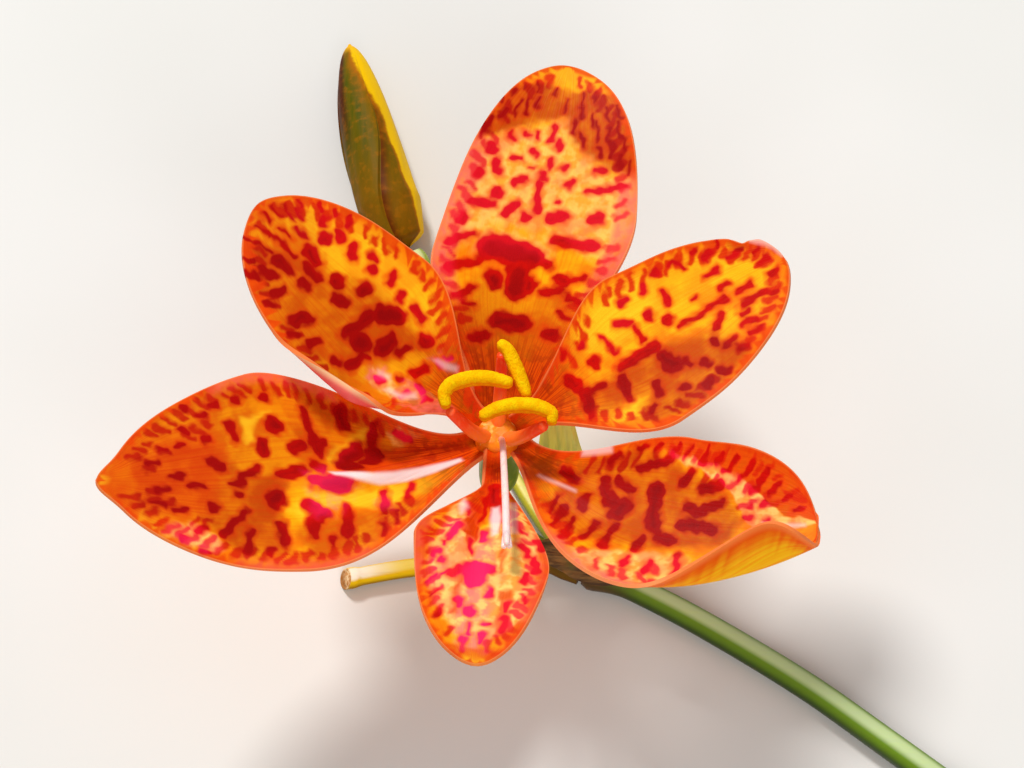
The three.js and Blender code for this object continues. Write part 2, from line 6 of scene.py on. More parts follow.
import bpy
import numpy as np
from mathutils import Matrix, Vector


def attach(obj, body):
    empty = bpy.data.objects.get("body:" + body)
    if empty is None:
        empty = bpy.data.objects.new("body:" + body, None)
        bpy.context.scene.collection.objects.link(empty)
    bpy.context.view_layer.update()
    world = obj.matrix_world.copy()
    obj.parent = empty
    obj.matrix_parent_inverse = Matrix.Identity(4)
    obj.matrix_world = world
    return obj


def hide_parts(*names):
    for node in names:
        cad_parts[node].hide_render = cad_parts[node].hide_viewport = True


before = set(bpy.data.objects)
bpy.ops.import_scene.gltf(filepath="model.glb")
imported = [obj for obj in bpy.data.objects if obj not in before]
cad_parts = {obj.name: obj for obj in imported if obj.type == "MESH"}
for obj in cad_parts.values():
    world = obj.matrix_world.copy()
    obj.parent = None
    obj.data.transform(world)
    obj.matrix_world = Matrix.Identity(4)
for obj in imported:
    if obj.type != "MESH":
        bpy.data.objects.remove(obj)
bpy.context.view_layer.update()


# ---- The stem
# One leafless green stem, about 2 mm thick and a little waxy, cut through at its far end. It thickens into the
# knuckle that the three flower stalks grow from, and a small flat spot under the knuckle rests on the surface.
MM = 0.001
STEM_LINE = [
    (-0.6, 0.2, 1.36), (1.9, -0.75, 1.2), (7.5, -3.85, 1.05), (14.6, -8.6, 1.1), (20.1, -12.9, 1.1),
    (28.0, -19.4, 1.15), (35.0, -25.6, 1.1), (40.5, -30.8, 1.05),
]
STEM_RADIUS = 0.95
STEM_CUT_RADIUS = 1.1
KNUCKLE_RADIUS = 1.45
KNUCKLE_SHARE = 1 / 14  # of the stem's length
STEPS_BETWEEN = 40  # steps from one point of a line to the next
DOME_RINGS = np.radians([15, 30, 45, 60, 72, 82, 88])


def smooth(x):
    """A soft step from 0 at x = 0 to 1 at x = 1."""
    x = np.clip(x, 0, 1)
    return x * x * (3 - 2 * x)


def read_between(at, grid, rows):
    """Reads a list of points or directions between its rows."""
    return np.column_stack([np.interp(at, grid, rows[:, axis]) for axis in range(3)])


def line_through(points, count):
    """Evenly spaced places on a smooth line through the given points, with its direction at each."""
    points = np.array(points, float)
    ends = np.vstack((2 * points[0] - points[1], points, 2 * points[-1] - points[-2]))
    fine = []
    for before, a, b, after in zip(ends, ends[1:], ends[2:], ends[3:]):
        for s in np.linspace(0, 1, STEPS_BETWEEN, endpoint=False):
            bend = (2 * before - 5 * a + 4 * b - after) * s * s + (3 * a - before - 3 * b + after) * s ** 3
            fine.append(0.5 * (2 * a + (b - before) * s + bend))
    fine = np.array(fine + [points[-1]])
    run = np.concatenate(([0], np.cumsum(np.linalg.norm(np.diff(fine, axis=0), axis=1))))
    places = read_between(np.linspace(0, run[-1], count), run, fine)
    heading = np.gradient(places, axis=0)
    return places, heading / np.linalg.norm(heading, axis=1)[:, None]


def weld(piece, merge, outwards=True):
    """Merges the vertices that lie together, and turns the faces outwards."""
    bpy.context.view_layer.objects.active = piece
    bpy.ops.object.mode_set(mode="EDIT")
    bpy.ops.mesh.select_all(action="SELECT")
    bpy.ops.mesh.remove_doubles(threshold=merge)
    if outwards:
        bpy.ops.mesh.normals_make_consistent(inside=False)
    bpy.ops.object.mode_set(mode="OBJECT")


def grow_stalk(name, line, radius_at, rings=60, sides=28, dome_start=0.0, dome_end=0.0):
    """A round stalk along a line, in millimetres, as a bevelled curve turned into a mesh. Its ends are flat,
    or domed by a share of their radius."""
    places, heading = line_through(line, rings)
    radii = radius_at(np.linspace(0, 1, rings))
    if dome_start:
        steps = places[0] - np.outer(np.sin(DOME_RINGS), heading[0]) * dome_start * radii[0]
        places, radii = np.vstack((steps[::-1], places)), np.append(np.cos(DOME_RINGS)[::-1] * radii[0], radii)
    if dome_end:
        steps = places[-1] + np.outer(np.sin(DOME_RINGS), heading[-1]) * dome_end * radii[-1]
        places, radii = np.vstack((places, steps)), np.append(radii, np.cos(DOME_RINGS) * radii[-1])
    bpy.ops.object.select_all(action="DESELECT")
    bpy.ops.curve.primitive_nurbs_path_add()
    stalk = bpy.context.object
    stalk.name = name
    curve = stalk.data
    curve.splines.clear()
    curve.dimensions = "3D"
    curve.bevel_depth = MM
    curve.bevel_resolution = sides // 4
    curve.use_fill_caps = True
    spline = curve.splines.new("POLY")
    spline.points.add(len(places) - 1)
    for point, place, radius in zip(spline.points, places, radii):
        point.co = (*(place * MM), 1)
        point.radius = radius
    bpy.ops.object.convert(target="MESH")
    weld(stalk, 1e-7)
    bpy.ops.object.shade_smooth_by_angle(angle=math.radians(50))
    return stalk


def rest_on_surface(piece):
    """Flattens what would lie under the surface."""
    for vertex in piece.data.vertices:
        vertex.co.z = max(vertex.co.z, 0)


def colour(red, green, blue):
    """A colour as seen on a screen, from 0 to 255, as the shaders take it."""
    share = (np.array([red, green, blue]) / 255 + 0.055) / 1.055
    return (*(share ** 2.4), 1)


def in_metres(place):
    return Vector([c * MM for c in place])


def feed(socket, value):
    """Links a shader socket to another, or sets it. A colour is given as a screen shows it."""
    if isinstance(value, bpy.types.NodeSocket):
        socket.id_data.links.new(value, socket)
    else:
        socket.default_value = colour(*value) if socket.type == "RGBA" else value


def add_node(tree, kind, **settings):
    node = tree.nodes.new("ShaderNode" + kind)
    for name, value in settings.items():
        setattr(node, name, value)
    return node


def new_finish(name, roughness, under=0.0, under_depth=0.5, shine=0.5):
    """A material with its constant numbers set on the shader: roughness, how much light goes under the surface
    and how deep in millimetres, and specular level."""
    finish = bpy.data.materials.new(name)
    finish.use_nodes = True
    shader = finish.node_tree.nodes["Principled BSDF"]
    shader.inputs["Roughness"].default_value = roughness
    shader.inputs["Specular IOR Level"].default_value = shine
    shader.inputs["Subsurface Weight"].default_value = under
    shader.inputs["Subsurface Radius"].default_value = (1.0, 0.45, 0.15)
    shader.inputs["Subsurface Scale"].default_value = under_depth * MM
    return finish


def place_coords(finish, scale=(1, 1, 1), turn=(0, 0, 0)):
    """The piece's own coordinates, in metres, turned and stretched."""
    mapping = add_node(finish.node_tree, "Mapping")
    mapping.inputs["Scale"].default_value = scale
    mapping.inputs["Rotation"].default_value = [math.radians(a) for a in turn]
    feed(mapping.inputs["Vector"], add_node(finish.node_tree, "TexCoord").outputs["Object"])
    return mapping.outputs["Vector"]


def speckle(coords, scale, detail=3.0):
    noise = add_node(coords.id_data, "TexNoise")
    noise.inputs["Scale"].default_value = scale
    noise.inputs["Detail"].default_value = detail
    feed(noise.inputs["Vector"], coords)
    return noise.outputs["Fac"]


def tint(share, first, second, mode="MIX"):
    mix = add_node(share.id_data, "Mix", data_type="RGBA", blend_type=mode)
    for socket, value in ((mix.inputs[0], share), (mix.inputs[6], first), (mix.inputs[7], second)):
        feed(socket, value)
    return mix.outputs[2]


def layer(ground, *layers):
    """Lays colours over a ground, one after another, each by its share."""
    for share, hue in layers:
        ground = tint(share, ground, hue)
    return ground


def between(value, low, high, at_low=0.0, at_high=1.0):
    """Turns a value that runs from low to high into one that runs softly from at_low to at_high."""
    ramp = add_node(value.id_data, "MapRange", interpolation_type="SMOOTHSTEP")
    for socket, number in zip(list(ramp.inputs)[:5], (value, low, high, at_low, at_high)):
        feed(socket, number)
    return ramp.outputs[0]


def reckon(rule, first, second):
    node = add_node(first.id_data, "Math", operation=rule)
    feed(node.inputs[0], first)
    feed(node.inputs[1], second)
    return node.outputs[0]


def coat(finish, base, relief=None, depth=0.02):
    """Gives the shader its colour and, from a height, its fine relief in millimetres."""
    shader = finish.node_tree.nodes["Principled BSDF"]
    feed(shader.inputs["Base Color"], base)
    if relief is not None:
        bump = add_node(finish.node_tree, "Bump")
        bump.inputs["Strength"].default_value = 0.8
        bump.inputs["Distance"].default_value = depth * MM
        feed(bump.inputs["Height"], relief)
        feed(shader.inputs["Normal"], bump.outputs["Normal"])
    return finish


def share_along(finish, source, output, direction):
    dot = add_node(finish.node_tree, "VectorMath", operation="DOT_PRODUCT")
    dot.inputs[1].default_value = direction
    feed(dot.inputs[0], add_node(finish.node_tree, source).outputs[output])
    return dot.outputs["Value"]


def slant(finish, x, y, z, shift=0.0):
    """How far a point of the piece lies along a direction, in millimetres."""
    return reckon("ADD", share_along(finish, "TexCoord", "Object", (x / MM, y / MM, z / MM)), shift)


def facing(finish, x, y, z):
    """How far the surface faces a direction: 1 straight at it, 0 across it and below 0 away from it."""
    return share_along(finish, "NewGeometry", "Normal", (x, y, z))


def waxy_green(name, upper, middle, lower, along, brown_foot=None):
    """Waxy green skin: fine streaks along the stalk, with a painted highlight along the top and painted shade
    underneath, set by which way the surface faces. A brown foot is given by the direction that it fades in."""
    finish = new_finish(name, 0.35, under=0.05, under_depth=0.4, shine=0.25)
    top = facing(finish, 0.06, 0.12, 0.99)
    streaks = speckle(place_coords(finish, scale=(350, 3200, 3200), turn=(0, 0, -along)), 1.0)
    # the upper colour is a painted highlight where the skin faces up, the lower painted shade where it faces down
    skin = layer(lower, (between(top, 0.0, 0.8), middle), (between(top, 0.76, 1.0, 0.0, 0.95), upper))
    skin = tint(between(streaks, 0.4, 0.75, 0.0, 0.25), skin, upper, "SOFT_LIGHT")
    if brown_foot:
        skin = tint(between(slant(finish, *brown_foot), 0.4, 4.2, 0.92, 0.0), skin, (88, 56, 20))
    return coat(finish, skin, streaks, 0.03)


def stem_radius(t):
    plain = STEM_RADIUS + (STEM_CUT_RADIUS - STEM_RADIUS) * t
    rounded_start = 1 - 0.22 * np.exp(-t * 240)
    return (plain + (KNUCKLE_RADIUS - STEM_RADIUS) * (1 - smooth(t / KNUCKLE_SHARE))) * rounded_start


def finish_end(piece, line, finish, insets):
    """Makes the flat end of a stalk one face of its own finish, with a rim that steps in by the given insets."""
    place = in_metres(line[-1])
    outwards = (place - in_metres(line[-2])).normalized()
    piece.data.materials.append(finish)
    bpy.context.view_layer.objects.active = piece
    bpy.ops.object.mode_set(mode="EDIT")
    bpy.ops.mesh.select_mode(type="FACE")
    bpy.ops.mesh.select_all(action="DESELECT")
    bpy.ops.object.mode_set(mode="OBJECT")
    for face in piece.data.polygons:
        if face.normal.dot(outwards) > 0.7 and (face.center - place).length < 1.2 * MM:
            face.select = True
            face.material_index = 1
    bpy.ops.object.mode_set(mode="EDIT")
    bpy.ops.mesh.dissolve_faces()
    for thickness, depth in insets:
        bpy.ops.mesh.inset(thickness=thickness * MM, depth=depth * MM)
    bpy.ops.mesh.select_mode(type="VERT")
    bpy.ops.object.mode_set(mode="OBJECT")


stem = grow_stalk("lily_stem", STEM_LINE, stem_radius, rings=110, sides=32)
rest_on_surface(stem)
stem.data.materials.append(
    waxy_green("waxy_stem", (196, 214, 156), (104, 136, 22), (44, 64, 0), -40, brown_foot=(0.77, -0.64, 0))
)

# the cut face is paler, with a ring of dark pores round a soft middle
cut = new_finish("cut_stem", 0.75, under=0.1)
from_middle = add_node(cut.node_tree, "VectorMath", operation="DISTANCE")
from_middle.inputs[1].default_value = in_metres(STEM_LINE[-1])
feed(from_middle.inputs[0], add_node(cut.node_tree, "TexCoord").outputs["Object"])
rind = between(from_middle.outputs["Value"], 0.8 * MM, 1.0 * MM)
pores = between(speckle(place_coords(cut), 4200), 0.52, 0.66, 0.0, 0.7)
coat(cut, layer((206, 214, 150), (pores, (120, 128, 60)), (rind, (104, 132, 48))), pores, 0.05)
finish_end(stem, STEM_LINE, cut, [(0.18, -0.05), (0.3, 0.0)])
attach(stem, "root")
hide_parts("stem")


# ---- The three flower stalks
# Thin round stalks that leave the knuckle side by side: one rises to the open bloom, one lies along the
# surface to the bud, and a short one has dropped its flower and ends in a small collar round a dry scar.
STALK_START_RADIUS = 0.5
STALK_CIRCLE = 0.78
SEAT_GAP = 0.3
SCAR_SLANT = 0.5
SCAR_REACH = 1.6  # how far from the end the slant fades out
BLOOM_STALK_LINE = [(-3.7, 1.4, 2.75), (-5.7, 2.3, 4.1), (-6.8, 2.8, 6.2), (-7.0, 2.9, 7.7), (-7.0, 2.9, 8.7)]
BUD_STALK_LINE = [(-3.0, 2.9, 0.9), (-5.6, 7.6, 0.72), (-8.9, 14.6, 0.68), (-11.5, 21.4, 0.72), (-12.5, 24.2, 0.9)]
SPENT_STALK_LINE = [(-3.9, 0.85, 0.86), (-8.0, 1.0, 0.8), (-13.2, 0.6, 0.78), (-18.0, -0.3, 0.76)]


def from_knuckle(angle, line):
    """The line of a stalk that leaves the knuckle at its own place on a small circle round the stem's line."""
    back = np.array([-STEM_LINE[1][0], -STEM_LINE[1][1], 0.0])
    back /= np.linalg.norm(back)
    sideways = np.array([-back[1], back[0], 0.0])
    angle = math.radians(angle)
    foot = np.array(STEM_LINE[0]) + sideways * math.cos(angle) * STALK_CIRCLE + back * SEAT_GAP
    foot[2] += math.sin(angle) * STALK_CIRCLE
    return [foot, foot + back * 1.1, *line]


def taper(start, end):
    return lambda t: start + (end - start) * np.asarray(t)


bloom_stalk = grow_stalk("bloom_stalk_skin", from_knuckle(90, BLOOM_STALK_LINE), taper(STALK_START_RADIUS, 0.62))
bloom_stalk.data.materials.append(
    waxy_green("bloom_stalk_green", (160, 176, 84), (112, 134, 30), (84, 104, 20), 0)
)
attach(bloom_stalk, "root")
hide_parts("bloom_stalk")

bud_stalk = grow_stalk("bud_stalk_skin", from_knuckle(210, BUD_STALK_LINE), taper(STALK_START_RADIUS, 0.56), 80)
rest_on_surface(bud_stalk)
bud_stalk.data.materials.append(waxy_green("bud_stalk_green", (236, 232, 140), (190, 188, 48), (120, 134, 20), 108))
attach(bud_stalk, "root")
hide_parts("bud_stalk")

spent_stalk = grow_stalk(
    "spent_stalk_skin",
    from_knuckle(330, SPENT_STALK_LINE),
    lambda t: STALK_START_RADIUS + (0.68 - STALK_START_RADIUS) * smooth(t * 2) + 0.12 * smooth((t - 0.93) * 25),
    90,
)
scar_place = in_metres(SPENT_STALK_LINE[-1])
for vertex in spent_stalk.data.vertices:  # the flower broke off at a slant, so the scar faces up a little
    nearness = 1 - smooth((vertex.co.x - scar_place.x) / (SCAR_REACH * MM))
    vertex.co.x += SCAR_SLANT * nearness * (vertex.co.z - scar_place.z)
rest_on_surface(spent_stalk)
straw = new_finish("straw_stalk", 0.45, under=0.05, under_depth=0.4, shine=0.08)
dryness = speckle(place_coords(straw, scale=(500, 3000, 3000)), 1.0)
upward = facing(straw, 0, 0.03, 1)
from_scar = slant(straw, 1, 0, 0, -SPENT_STALK_LINE[-1][0])
# painted shade darkens the underside and a painted highlight pales the top, whitest towards the scar
skin = layer(
    (168, 124, 0),
    (between(upward, -0.1, 0.6), (250, 204, 6)),
    (between(upward, 0.7, 0.97, 0.0, 0.9), (255, 234, 110)),
    (reckon("MULTIPLY", between(upward, 0.6, 0.9), between(from_scar, 0.9, 4.6, 0.9, 0.0)), (255, 250, 232)),
    (between(from_scar, -0.1, 0.4, 0.6, 0.0), (222, 176, 84)),
    (between(dryness, 0.5, 0.8, 0.0, 0.2), (206, 160, 20)),
    (between(slant(straw, 1, 0, 0), -8.0, -4.4, 0.0, 0.95), (98, 62, 20)),
)
coat(straw, skin, dryness, 0.03)
spent_stalk.data.materials.append(straw)
scar = new_finish("dry_scar", 0.9)
scar_grain = speckle(place_coords(scar), 3600, 4)
scar_skin = layer(
    (250, 214, 160),
    (between(scar_grain, 0.42, 0.62), (204, 136, 66)),
    (between(slant(scar, 0, 0, 1), 0.2, 1.0, 0.9, 0.0), (160, 96, 16)),
)
coat(scar, scar_skin, scar_grain, 0.08)
finish_end(spent_stalk, SPENT_STALK_LINE, scar, [(0.08, 0.04), (0.14, -0.1), (0.2, 0.05)])
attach(spent_stalk, "root")
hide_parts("spent_stalk")


# ---- The two bracts
# Narrow leaf-like blades at the knuckle: one dry, brown and papery lies over the stem, and a pale green one
# stands up beside the bloom's stalk. Each is hollowed across and ends in a point.
DRY_BRACT_LINE = [(2.5, -0.95, 3.2), (0.5, -0.45, 3.75), (-2.2, 0.05, 4.2), (-4.7, 0.35, 5.1)]
GREEN_BRACT_LINE = [(0.3, 2.15, 2.2), (-0.9, 3.7, 3.7), (-2.0, 6.0, 6.1), (-2.6, 8.8, 8.5), (-2.8, 10.6, 9.8)]


def add_sheet(name, across_steps, along_steps):
    """A flat grid that is then laid into place. Returns it with each vertex's place across, from -1 at the
    right to 1 at the left, and along, from 0 to 1."""
    bpy.ops.object.select_all(action="DESELECT")
    bpy.ops.mesh.primitive_grid_add(x_subdivisions=across_steps, y_subdivisions=along_steps, size=2)
    sheet = bpy.context.object
    sheet.name = name
    flat = np.empty(len(sheet.data.vertices) * 3)
    sheet.data.vertices.foreach_get("co", flat)
    flat = flat.reshape(-1, 3)
    return sheet, -flat[:, 0], (flat[:, 1] + 1) / 2


def lay(sheet, places):
    sheet.data.vertices.foreach_set("co", (places * MM).ravel())
    sheet.data.update()


def thicken(sheet, thickness):
    """Welds what has run together at a tip, and gives the sheet its thickness, with the second finish behind."""
    weld(sheet, 2e-6, outwards=False)
    solid = sheet.modifiers.new("thickness", "SOLIDIFY")
    solid.thickness = thickness * MM
    solid.offset = 0
    solid.use_even_offset = False
    solid.material_offset = 1
    bpy.ops.object.modifier_apply(modifier=solid.name)
    bpy.ops.object.shade_smooth_by_angle(angle=math.radians(60))


def grow_bract(name, line, half_width, hollow, open_towards, thickness, finish):
    bract, across, along = add_sheet(name, 24, 60)
    open_way = np.array(open_towards, float)
    open_way /= np.linalg.norm(open_way)
    places, heading = line_through(line, 200)
    grid = np.linspace(0, 1, 200)
    middle, ahead = read_between(along, grid, places), read_between(along, grid, heading)
    side = np.cross(open_way, ahead)
    side /= np.linalg.norm(side, axis=1)[:, None]
    out = np.cross(ahead, side)
    spread = half_width * (0.55 + 0.45 * smooth(along * 3))
    outward = across * np.maximum(1 - along ** 2.2, 0) ** 0.8
    crease = 0.05 * np.sin(outward * 22 + along * 3) * np.sin(np.pi * along)
    lift = hollow * spread * outward ** 2 + crease
    lay(bract, middle + side * (outward * spread)[:, None] + out * lift[:, None])
    bract.data.materials.append(finish)
    bract.data.materials.append(finish)
    thicken(bract, thickness)
    return bract


papery = new_finish("papery_brown", 0.85)
fibres = speckle(place_coords(papery, scale=(420, 3400, 1500), turn=(0, 0, 18)), 1.0, 4)
paper = tint(between(fibres, 0.35, 0.65), (70, 44, 14), (142, 98, 44))
paper = tint(between(speckle(place_coords(papery), 420), 0.5, 0.7), paper, (96, 84, 30))
coat(papery, paper, fibres, 0.06)
dry_bract = grow_bract("papery_bract", DRY_BRACT_LINE, 1.75, 0.42, (0.2, 0.25, -1), 0.35, papery)
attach(dry_bract, "root")
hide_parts("bract_dry")

leafy = new_finish("leafy_green", 0.5, under=0.15)
veins = speckle(place_coords(leafy, scale=(3200, 420, 600), turn=(0, 0, -14)), 1.0, 2)
leaf = tint(between(veins, 0.35, 0.65), (136, 164, 10), (206, 216, 70))
leaf = tint(between(slant(leafy, 0, 0, 1), 5.5, 8.5, 0.0, 0.7), leaf, (232, 226, 110))
coat(leafy, leaf, veins, 0.04)
green_bract = grow_bract("leafy_bract", GREEN_BRACT_LINE, 2.5, 0.4, (-0.5, -0.7, 0.5), 0.35, leafy)
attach(green_bract, "root")
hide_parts("bract_green")


# ---- The ovary and the bloom's cup
# The bloom sits on a small green ovary with three rounded lobes. On it stands the short fleshy cup that the
# tepals, stamens and style grow from, pale orange with a yellow middle.
BLOOM_CENTRE = np.array([-7.0, 2.9, 16.5])
HUB_PROFILE = [(0.85, -1.8), (1.15, -1.1), (1.5, -0.5), (1.6, 0.2), (1.5, 0.8), (1.2, 1.1), (0.7, 1.2), (0.3, 1.1)]
OVARY_PROFILE = [
    (0.6, 8.5), (0.76, 8.8), (1.0, 9.4), (1.25, 10.2), (1.4, 11.1), (1.45, 12.0), (1.38, 12.9), (1.18, 13.8),
    (0.95, 14.5), (0.85, 14.9),
]


def turn_rings(name, centre, rings, sides=24):
    """A round solid: a disc at its first ring, extruded upwards and widened or narrowed from ring to ring."""
    bpy.ops.object.select_all(action="DESELECT")
    radius, height = rings[0]
    middle = Vector((centre[0] * MM, centre[1] * MM, height * MM))
    bpy.ops.mesh.primitive_circle_add(vertices=sides, radius=radius * MM, fill_type="NGON", location=middle)
    solid = bpy.context.object
    solid.name = name
    bpy.ops.object.transform_apply(location=True, rotation=True, scale=True)
    bpy.ops.object.mode_set(mode="EDIT")
    bpy.ops.mesh.select_all(action="SELECT")
    for wider, higher in rings[1:]:
        rise = (0, 0, (higher - height) * MM)
        bpy.ops.mesh.extrude_region_move(TRANSFORM_OT_translate={"value": rise})
        share = wider / radius
        bpy.ops.transform.resize(value=(share, share, 1), center_override=(middle.x, middle.y, higher * MM))
        radius, height = wider, higher
    bpy.ops.mesh.select_all(action="SELECT")
    bpy.ops.mesh.normals_make_consistent(inside=False)
    bpy.ops.object.mode_set(mode="OBJECT")
    round_off = solid.modifiers.new("round off", "SUBSURF")
    round_off.levels = round_off.render_levels = 2
    bpy.ops.object.modifier_apply(modifier=round_off.name)
    bpy.ops.object.shade_smooth()
    return solid


ovary = turn_rings("lobed_ovary", BLOOM_CENTRE, OVARY_PROFILE, 30)
axis_x, axis_y = BLOOM_CENTRE[:2] * MM
for vertex in ovary.data.vertices:
    x, y = vertex.co.x - axis_x, vertex.co.y - axis_y
    swell = 1 + 0.09 * math.cos(3 * math.atan2(y, x))
    vertex.co.x, vertex.co.y = axis_x + x * swell, axis_y + y * swell
fleshy = new_finish("ovary_green", 0.4, under=0.12, shine=0.25)
mottle = speckle(place_coords(fleshy), 900, 3)
coat(fleshy, tint(between(mottle, 0.4, 0.65), (96, 118, 16), (140, 150, 40)), mottle, 0.04)
ovary.data.materials.append(fleshy)
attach(ovary, "root")
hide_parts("ovary")

hub = turn_rings("bloom_cup", BLOOM_CENTRE, [(r, z + BLOOM_CENTRE[2]) for r, z in HUB_PROFILE], 24)
cup_skin = new_finish("cup_orange", 0.4, under=0.1, shine=0.15)
cup_top = slant(cup_skin, 0, 0, 1, -BLOOM_CENTRE[2])
cup_mottle = speckle(place_coords(cup_skin), 1300, 3)
cup_colour = layer(
    (170, 160, 20),
    (between(cup_top, -1.6, 0.2), (236, 120, 12)),
    (between(cup_top, 0.9, 1.4), (255, 164, 20)),
    (between(cup_mottle, 0.5, 0.72, 0.0, 0.6), (240, 96, 16)),
    # painted highlights: cream patches where the mottle is low
    (between(cup_mottle, 0.46, 0.34, 0.0, 0.8), (255, 210, 110)),
)
coat(cup_skin, cup_colour, cup_mottle, 0.12)
hub.data.materials.append(cup_skin)
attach(hub, "root")
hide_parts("hub")


# ---- The tepals
# Six thin satiny petals in two rings of three, each on a narrow channelled claw. They are yellow orange with
# red rims, crimson blotches in the middle and short radial dashes along the margins, and paler behind.
TEPAL_THICKNESS = 0.28
OUTER_SEAT = (2.12, 0.0)
INNER_SEAT = (2.0, 0.95)
ACROSS_STEPS, ALONG_STEPS = 116, 216
RIB_STEPS = 200
FOOT_SHARE = 0.05  # of the length, where the claw goes on down into the cup
POINT_START = 0.955  # where the last bit of the tip begins
SLOPE_STEP = 0.004
STREAK_PITCH, STREAK_COUNT = 0.27, 160  # the streaks along a margin
CELL_GRAIN, FLECK_GRAIN, PATCH_GRAIN = (2600, 2), (1100, 2), (420, 3)
# red toning that is in part painted shade in grooves and folds; pink; magenta; painted highlights
# toned areas, in turn: painted shade; painted light; painted light that is in part the tepal's own paler cream;
AREA_KINDS = ("deep", "lit", "pale", "red_and_shade", "blush", "rose", "painted_glint")


def through_three(values, t):
    foot, middle, tip = values
    return foot * (1 - t) * (1 - 2 * t) + 4 * middle * t * (1 - t) + tip * t * (2 * t - 1)


def stretch(t, start, end):
    """1 in the middle of a stretch of the blade and 0 past its ends."""
    return np.sin(np.pi * np.clip((t - start) / (end - start), 0, 1)) ** 2


def half_width(shape, t, side):
    half, start, reach, belly = shape["left"] if side > 0 else shape["right"]
    spread = shape["claw"] + (half - shape["claw"]) * smooth((t - start) / (reach - start))
    return spread, spread * np.maximum(1 - np.clip(t, 0, 1) ** belly, 0) ** shape["tip"]


def fold_over(distance, start, turn, radius):
    """Carries a distance from the midrib round a folded margin: how far it goes sideways, and how far up."""
    past = np.maximum(distance - start, 0)
    turn = np.maximum(turn, 1e-6)
    round_part = np.minimum(past, radius * turn)
    angle = round_part / radius
    beyond = past - round_part
    out = np.minimum(distance, start) + radius * np.sin(angle) + beyond * np.cos(turn)
    return out, radius * (1 - np.cos(angle)) + beyond * np.sin(turn)


def grow_blade(shape, across, t):
    """Lays the points of a blade: along its curved midrib, then sideways and up through its cross section.
    Returns their places, and how far each lies from the midrib and from the margin, measured on the blade."""

    def heading(s):
        pitch = np.radians(through_three(shape["pitch"], s))
        turn = np.radians(shape["azimuth"] + shape["sway"] * (s - 0.5))
        return np.column_stack((np.cos(pitch) * np.cos(turn), np.cos(pitch) * np.sin(turn), np.sin(pitch))), turn

    run = heading((np.arange(RIB_STEPS) + 0.5) / RIB_STEPS)[0] * shape["length"]
    radius, height = shape["seat"]
    azimuth = math.radians(shape["azimuth"])
    foot = BLOOM_CENTRE + (math.cos(azimuth) * radius, math.sin(azimuth) * radius, height)
    rib = np.vstack((foot - run[0] * FOOT_SHARE, foot, foot + np.cumsum(run / RIB_STEPS, axis=0)))
    grid = np.append(-FOOT_SHARE, np.linspace(0, 1, RIB_STEPS + 1))
    place = read_between(t, grid, rib)
    ahead, turn = heading(t)
    left = np.column_stack((-np.sin(turn), np.cos(turn), 0 * turn))
    up_way = np.cross(ahead, left)

    side = np.where(across >= 0, 1.0, -1.0)
    widths = [half_width(shape, t, s) for s in (1, -1)]
    spread = np.where(side > 0, widths[0][0], widths[1][0])
    width = np.where(side > 0, widths[0][1], widths[1][1])
    distance = np.abs(across) * width
    outward = distance / spread
    waves, phase, rise = shape["ruffle"]
    up = through_three(shape["cup"], t) * spread * outward ** 2
    up += rise * outward ** 3 * np.sin(2 * np.pi * (waves * t + phase) + side) * stretch(t, 0.15, 1.15)
    for at, lift, wide, start, end in shape.get("ridges", []):
        away = (side * distance - at * np.minimum(1, spread / 3)) / wide
        up += lift * np.exp(-away * away) * stretch(t, start, end)
    flat = side * distance
    sideways = distance
    for fold_side, start_t, end_t, first, last, bend, radius in shape.get("folds", []):
        share = np.clip((t - start_t) / (end_t - start_t), 0, 1)
        bent = np.radians(bend) * stretch(t, start_t, end_t) * (side == fold_side)
        out, lift = fold_over(sideways, (first + (last - first) * share) * spread, bent, radius)
        sideways = np.where(side == fold_side, out, sideways)
        up += np.where(side == fold_side, lift, 0)
    place = place + left * (side * sideways)[:, None] + up_way * up[:, None]
    for lobe_side, at, wide, out in shape.get("lobes", []):
        swell = out * np.exp(-(((t - at) / wide) ** 2)) * (distance / np.maximum(width, 1e-6)) ** 3
        place = place + left * (side * swell * (side == lobe_side))[:, None]
    point = shape.get("point", 0.15) * smooth((t - POINT_START) / (1 - POINT_START)) * np.exp(-((flat / 1.5) ** 2))
    place = place + ahead * point[:, None]
    ahead_of, behind = np.minimum(t + SLOPE_STEP, 1), t - SLOPE_STEP
    slope = [
        (half_width(shape, ahead_of, s)[1] - half_width(shape, behind, s)[1]) / (2 * SLOPE_STEP * shape["length"])
        for s in (1, -1)
    ]
    steep = np.where(side > 0, slope[0], slope[1])
    return place, flat, (width - distance) / np.sqrt(1 + steep ** 2)


def edge_dashes(shape, seed):
    """Short dashes in from the margins, leaning towards the tip, in more rows near it."""
    chance = np.random.default_rng(seed)
    dashes = []
    for side in (1, -1):
        t = np.linspace(0.2, 0.995, 700)
        x, y = side * half_width(shape, t, side)[1], shape["length"] * t
        run = np.concatenate(([0], np.cumsum(np.hypot(np.diff(x), np.diff(y)))))
        at = 0.3
        while at < run[-1] - 0.2:
            i = int(np.searchsorted(run, at))
            way = np.array([x[i] - x[i - 1], y[i] - y[i - 1]])
            way /= np.linalg.norm(way)
            inwards = np.array([-side * way[1], side * way[0]])
            lean = inwards * -1.0 + way * (0.5 + 0.3 * chance.random())
            turn = math.degrees(math.atan2(lean[0], lean[1]))
            for row in range(1 + (t[i] > shape["second_row"]) + (t[i] > shape["second_row"] + 0.25)):
                if chance.random() < (0.12, 0.25, 0.4)[row]:
                    continue
                inset = 0.85 + 0.35 * chance.random() + row * (1.3 + 0.3 * chance.random())
                middle = np.array([x[i], y[i]]) + inwards * inset - way * 0.45 * row
                long = (0.9, 0.8, 0.7)[row] + 0.6 * chance.random()
                dashes.append((*middle, long, 0.34 + 0.2 * chance.random(), turn))
            at += 0.75 + 0.4 * chance.random()
    return dashes


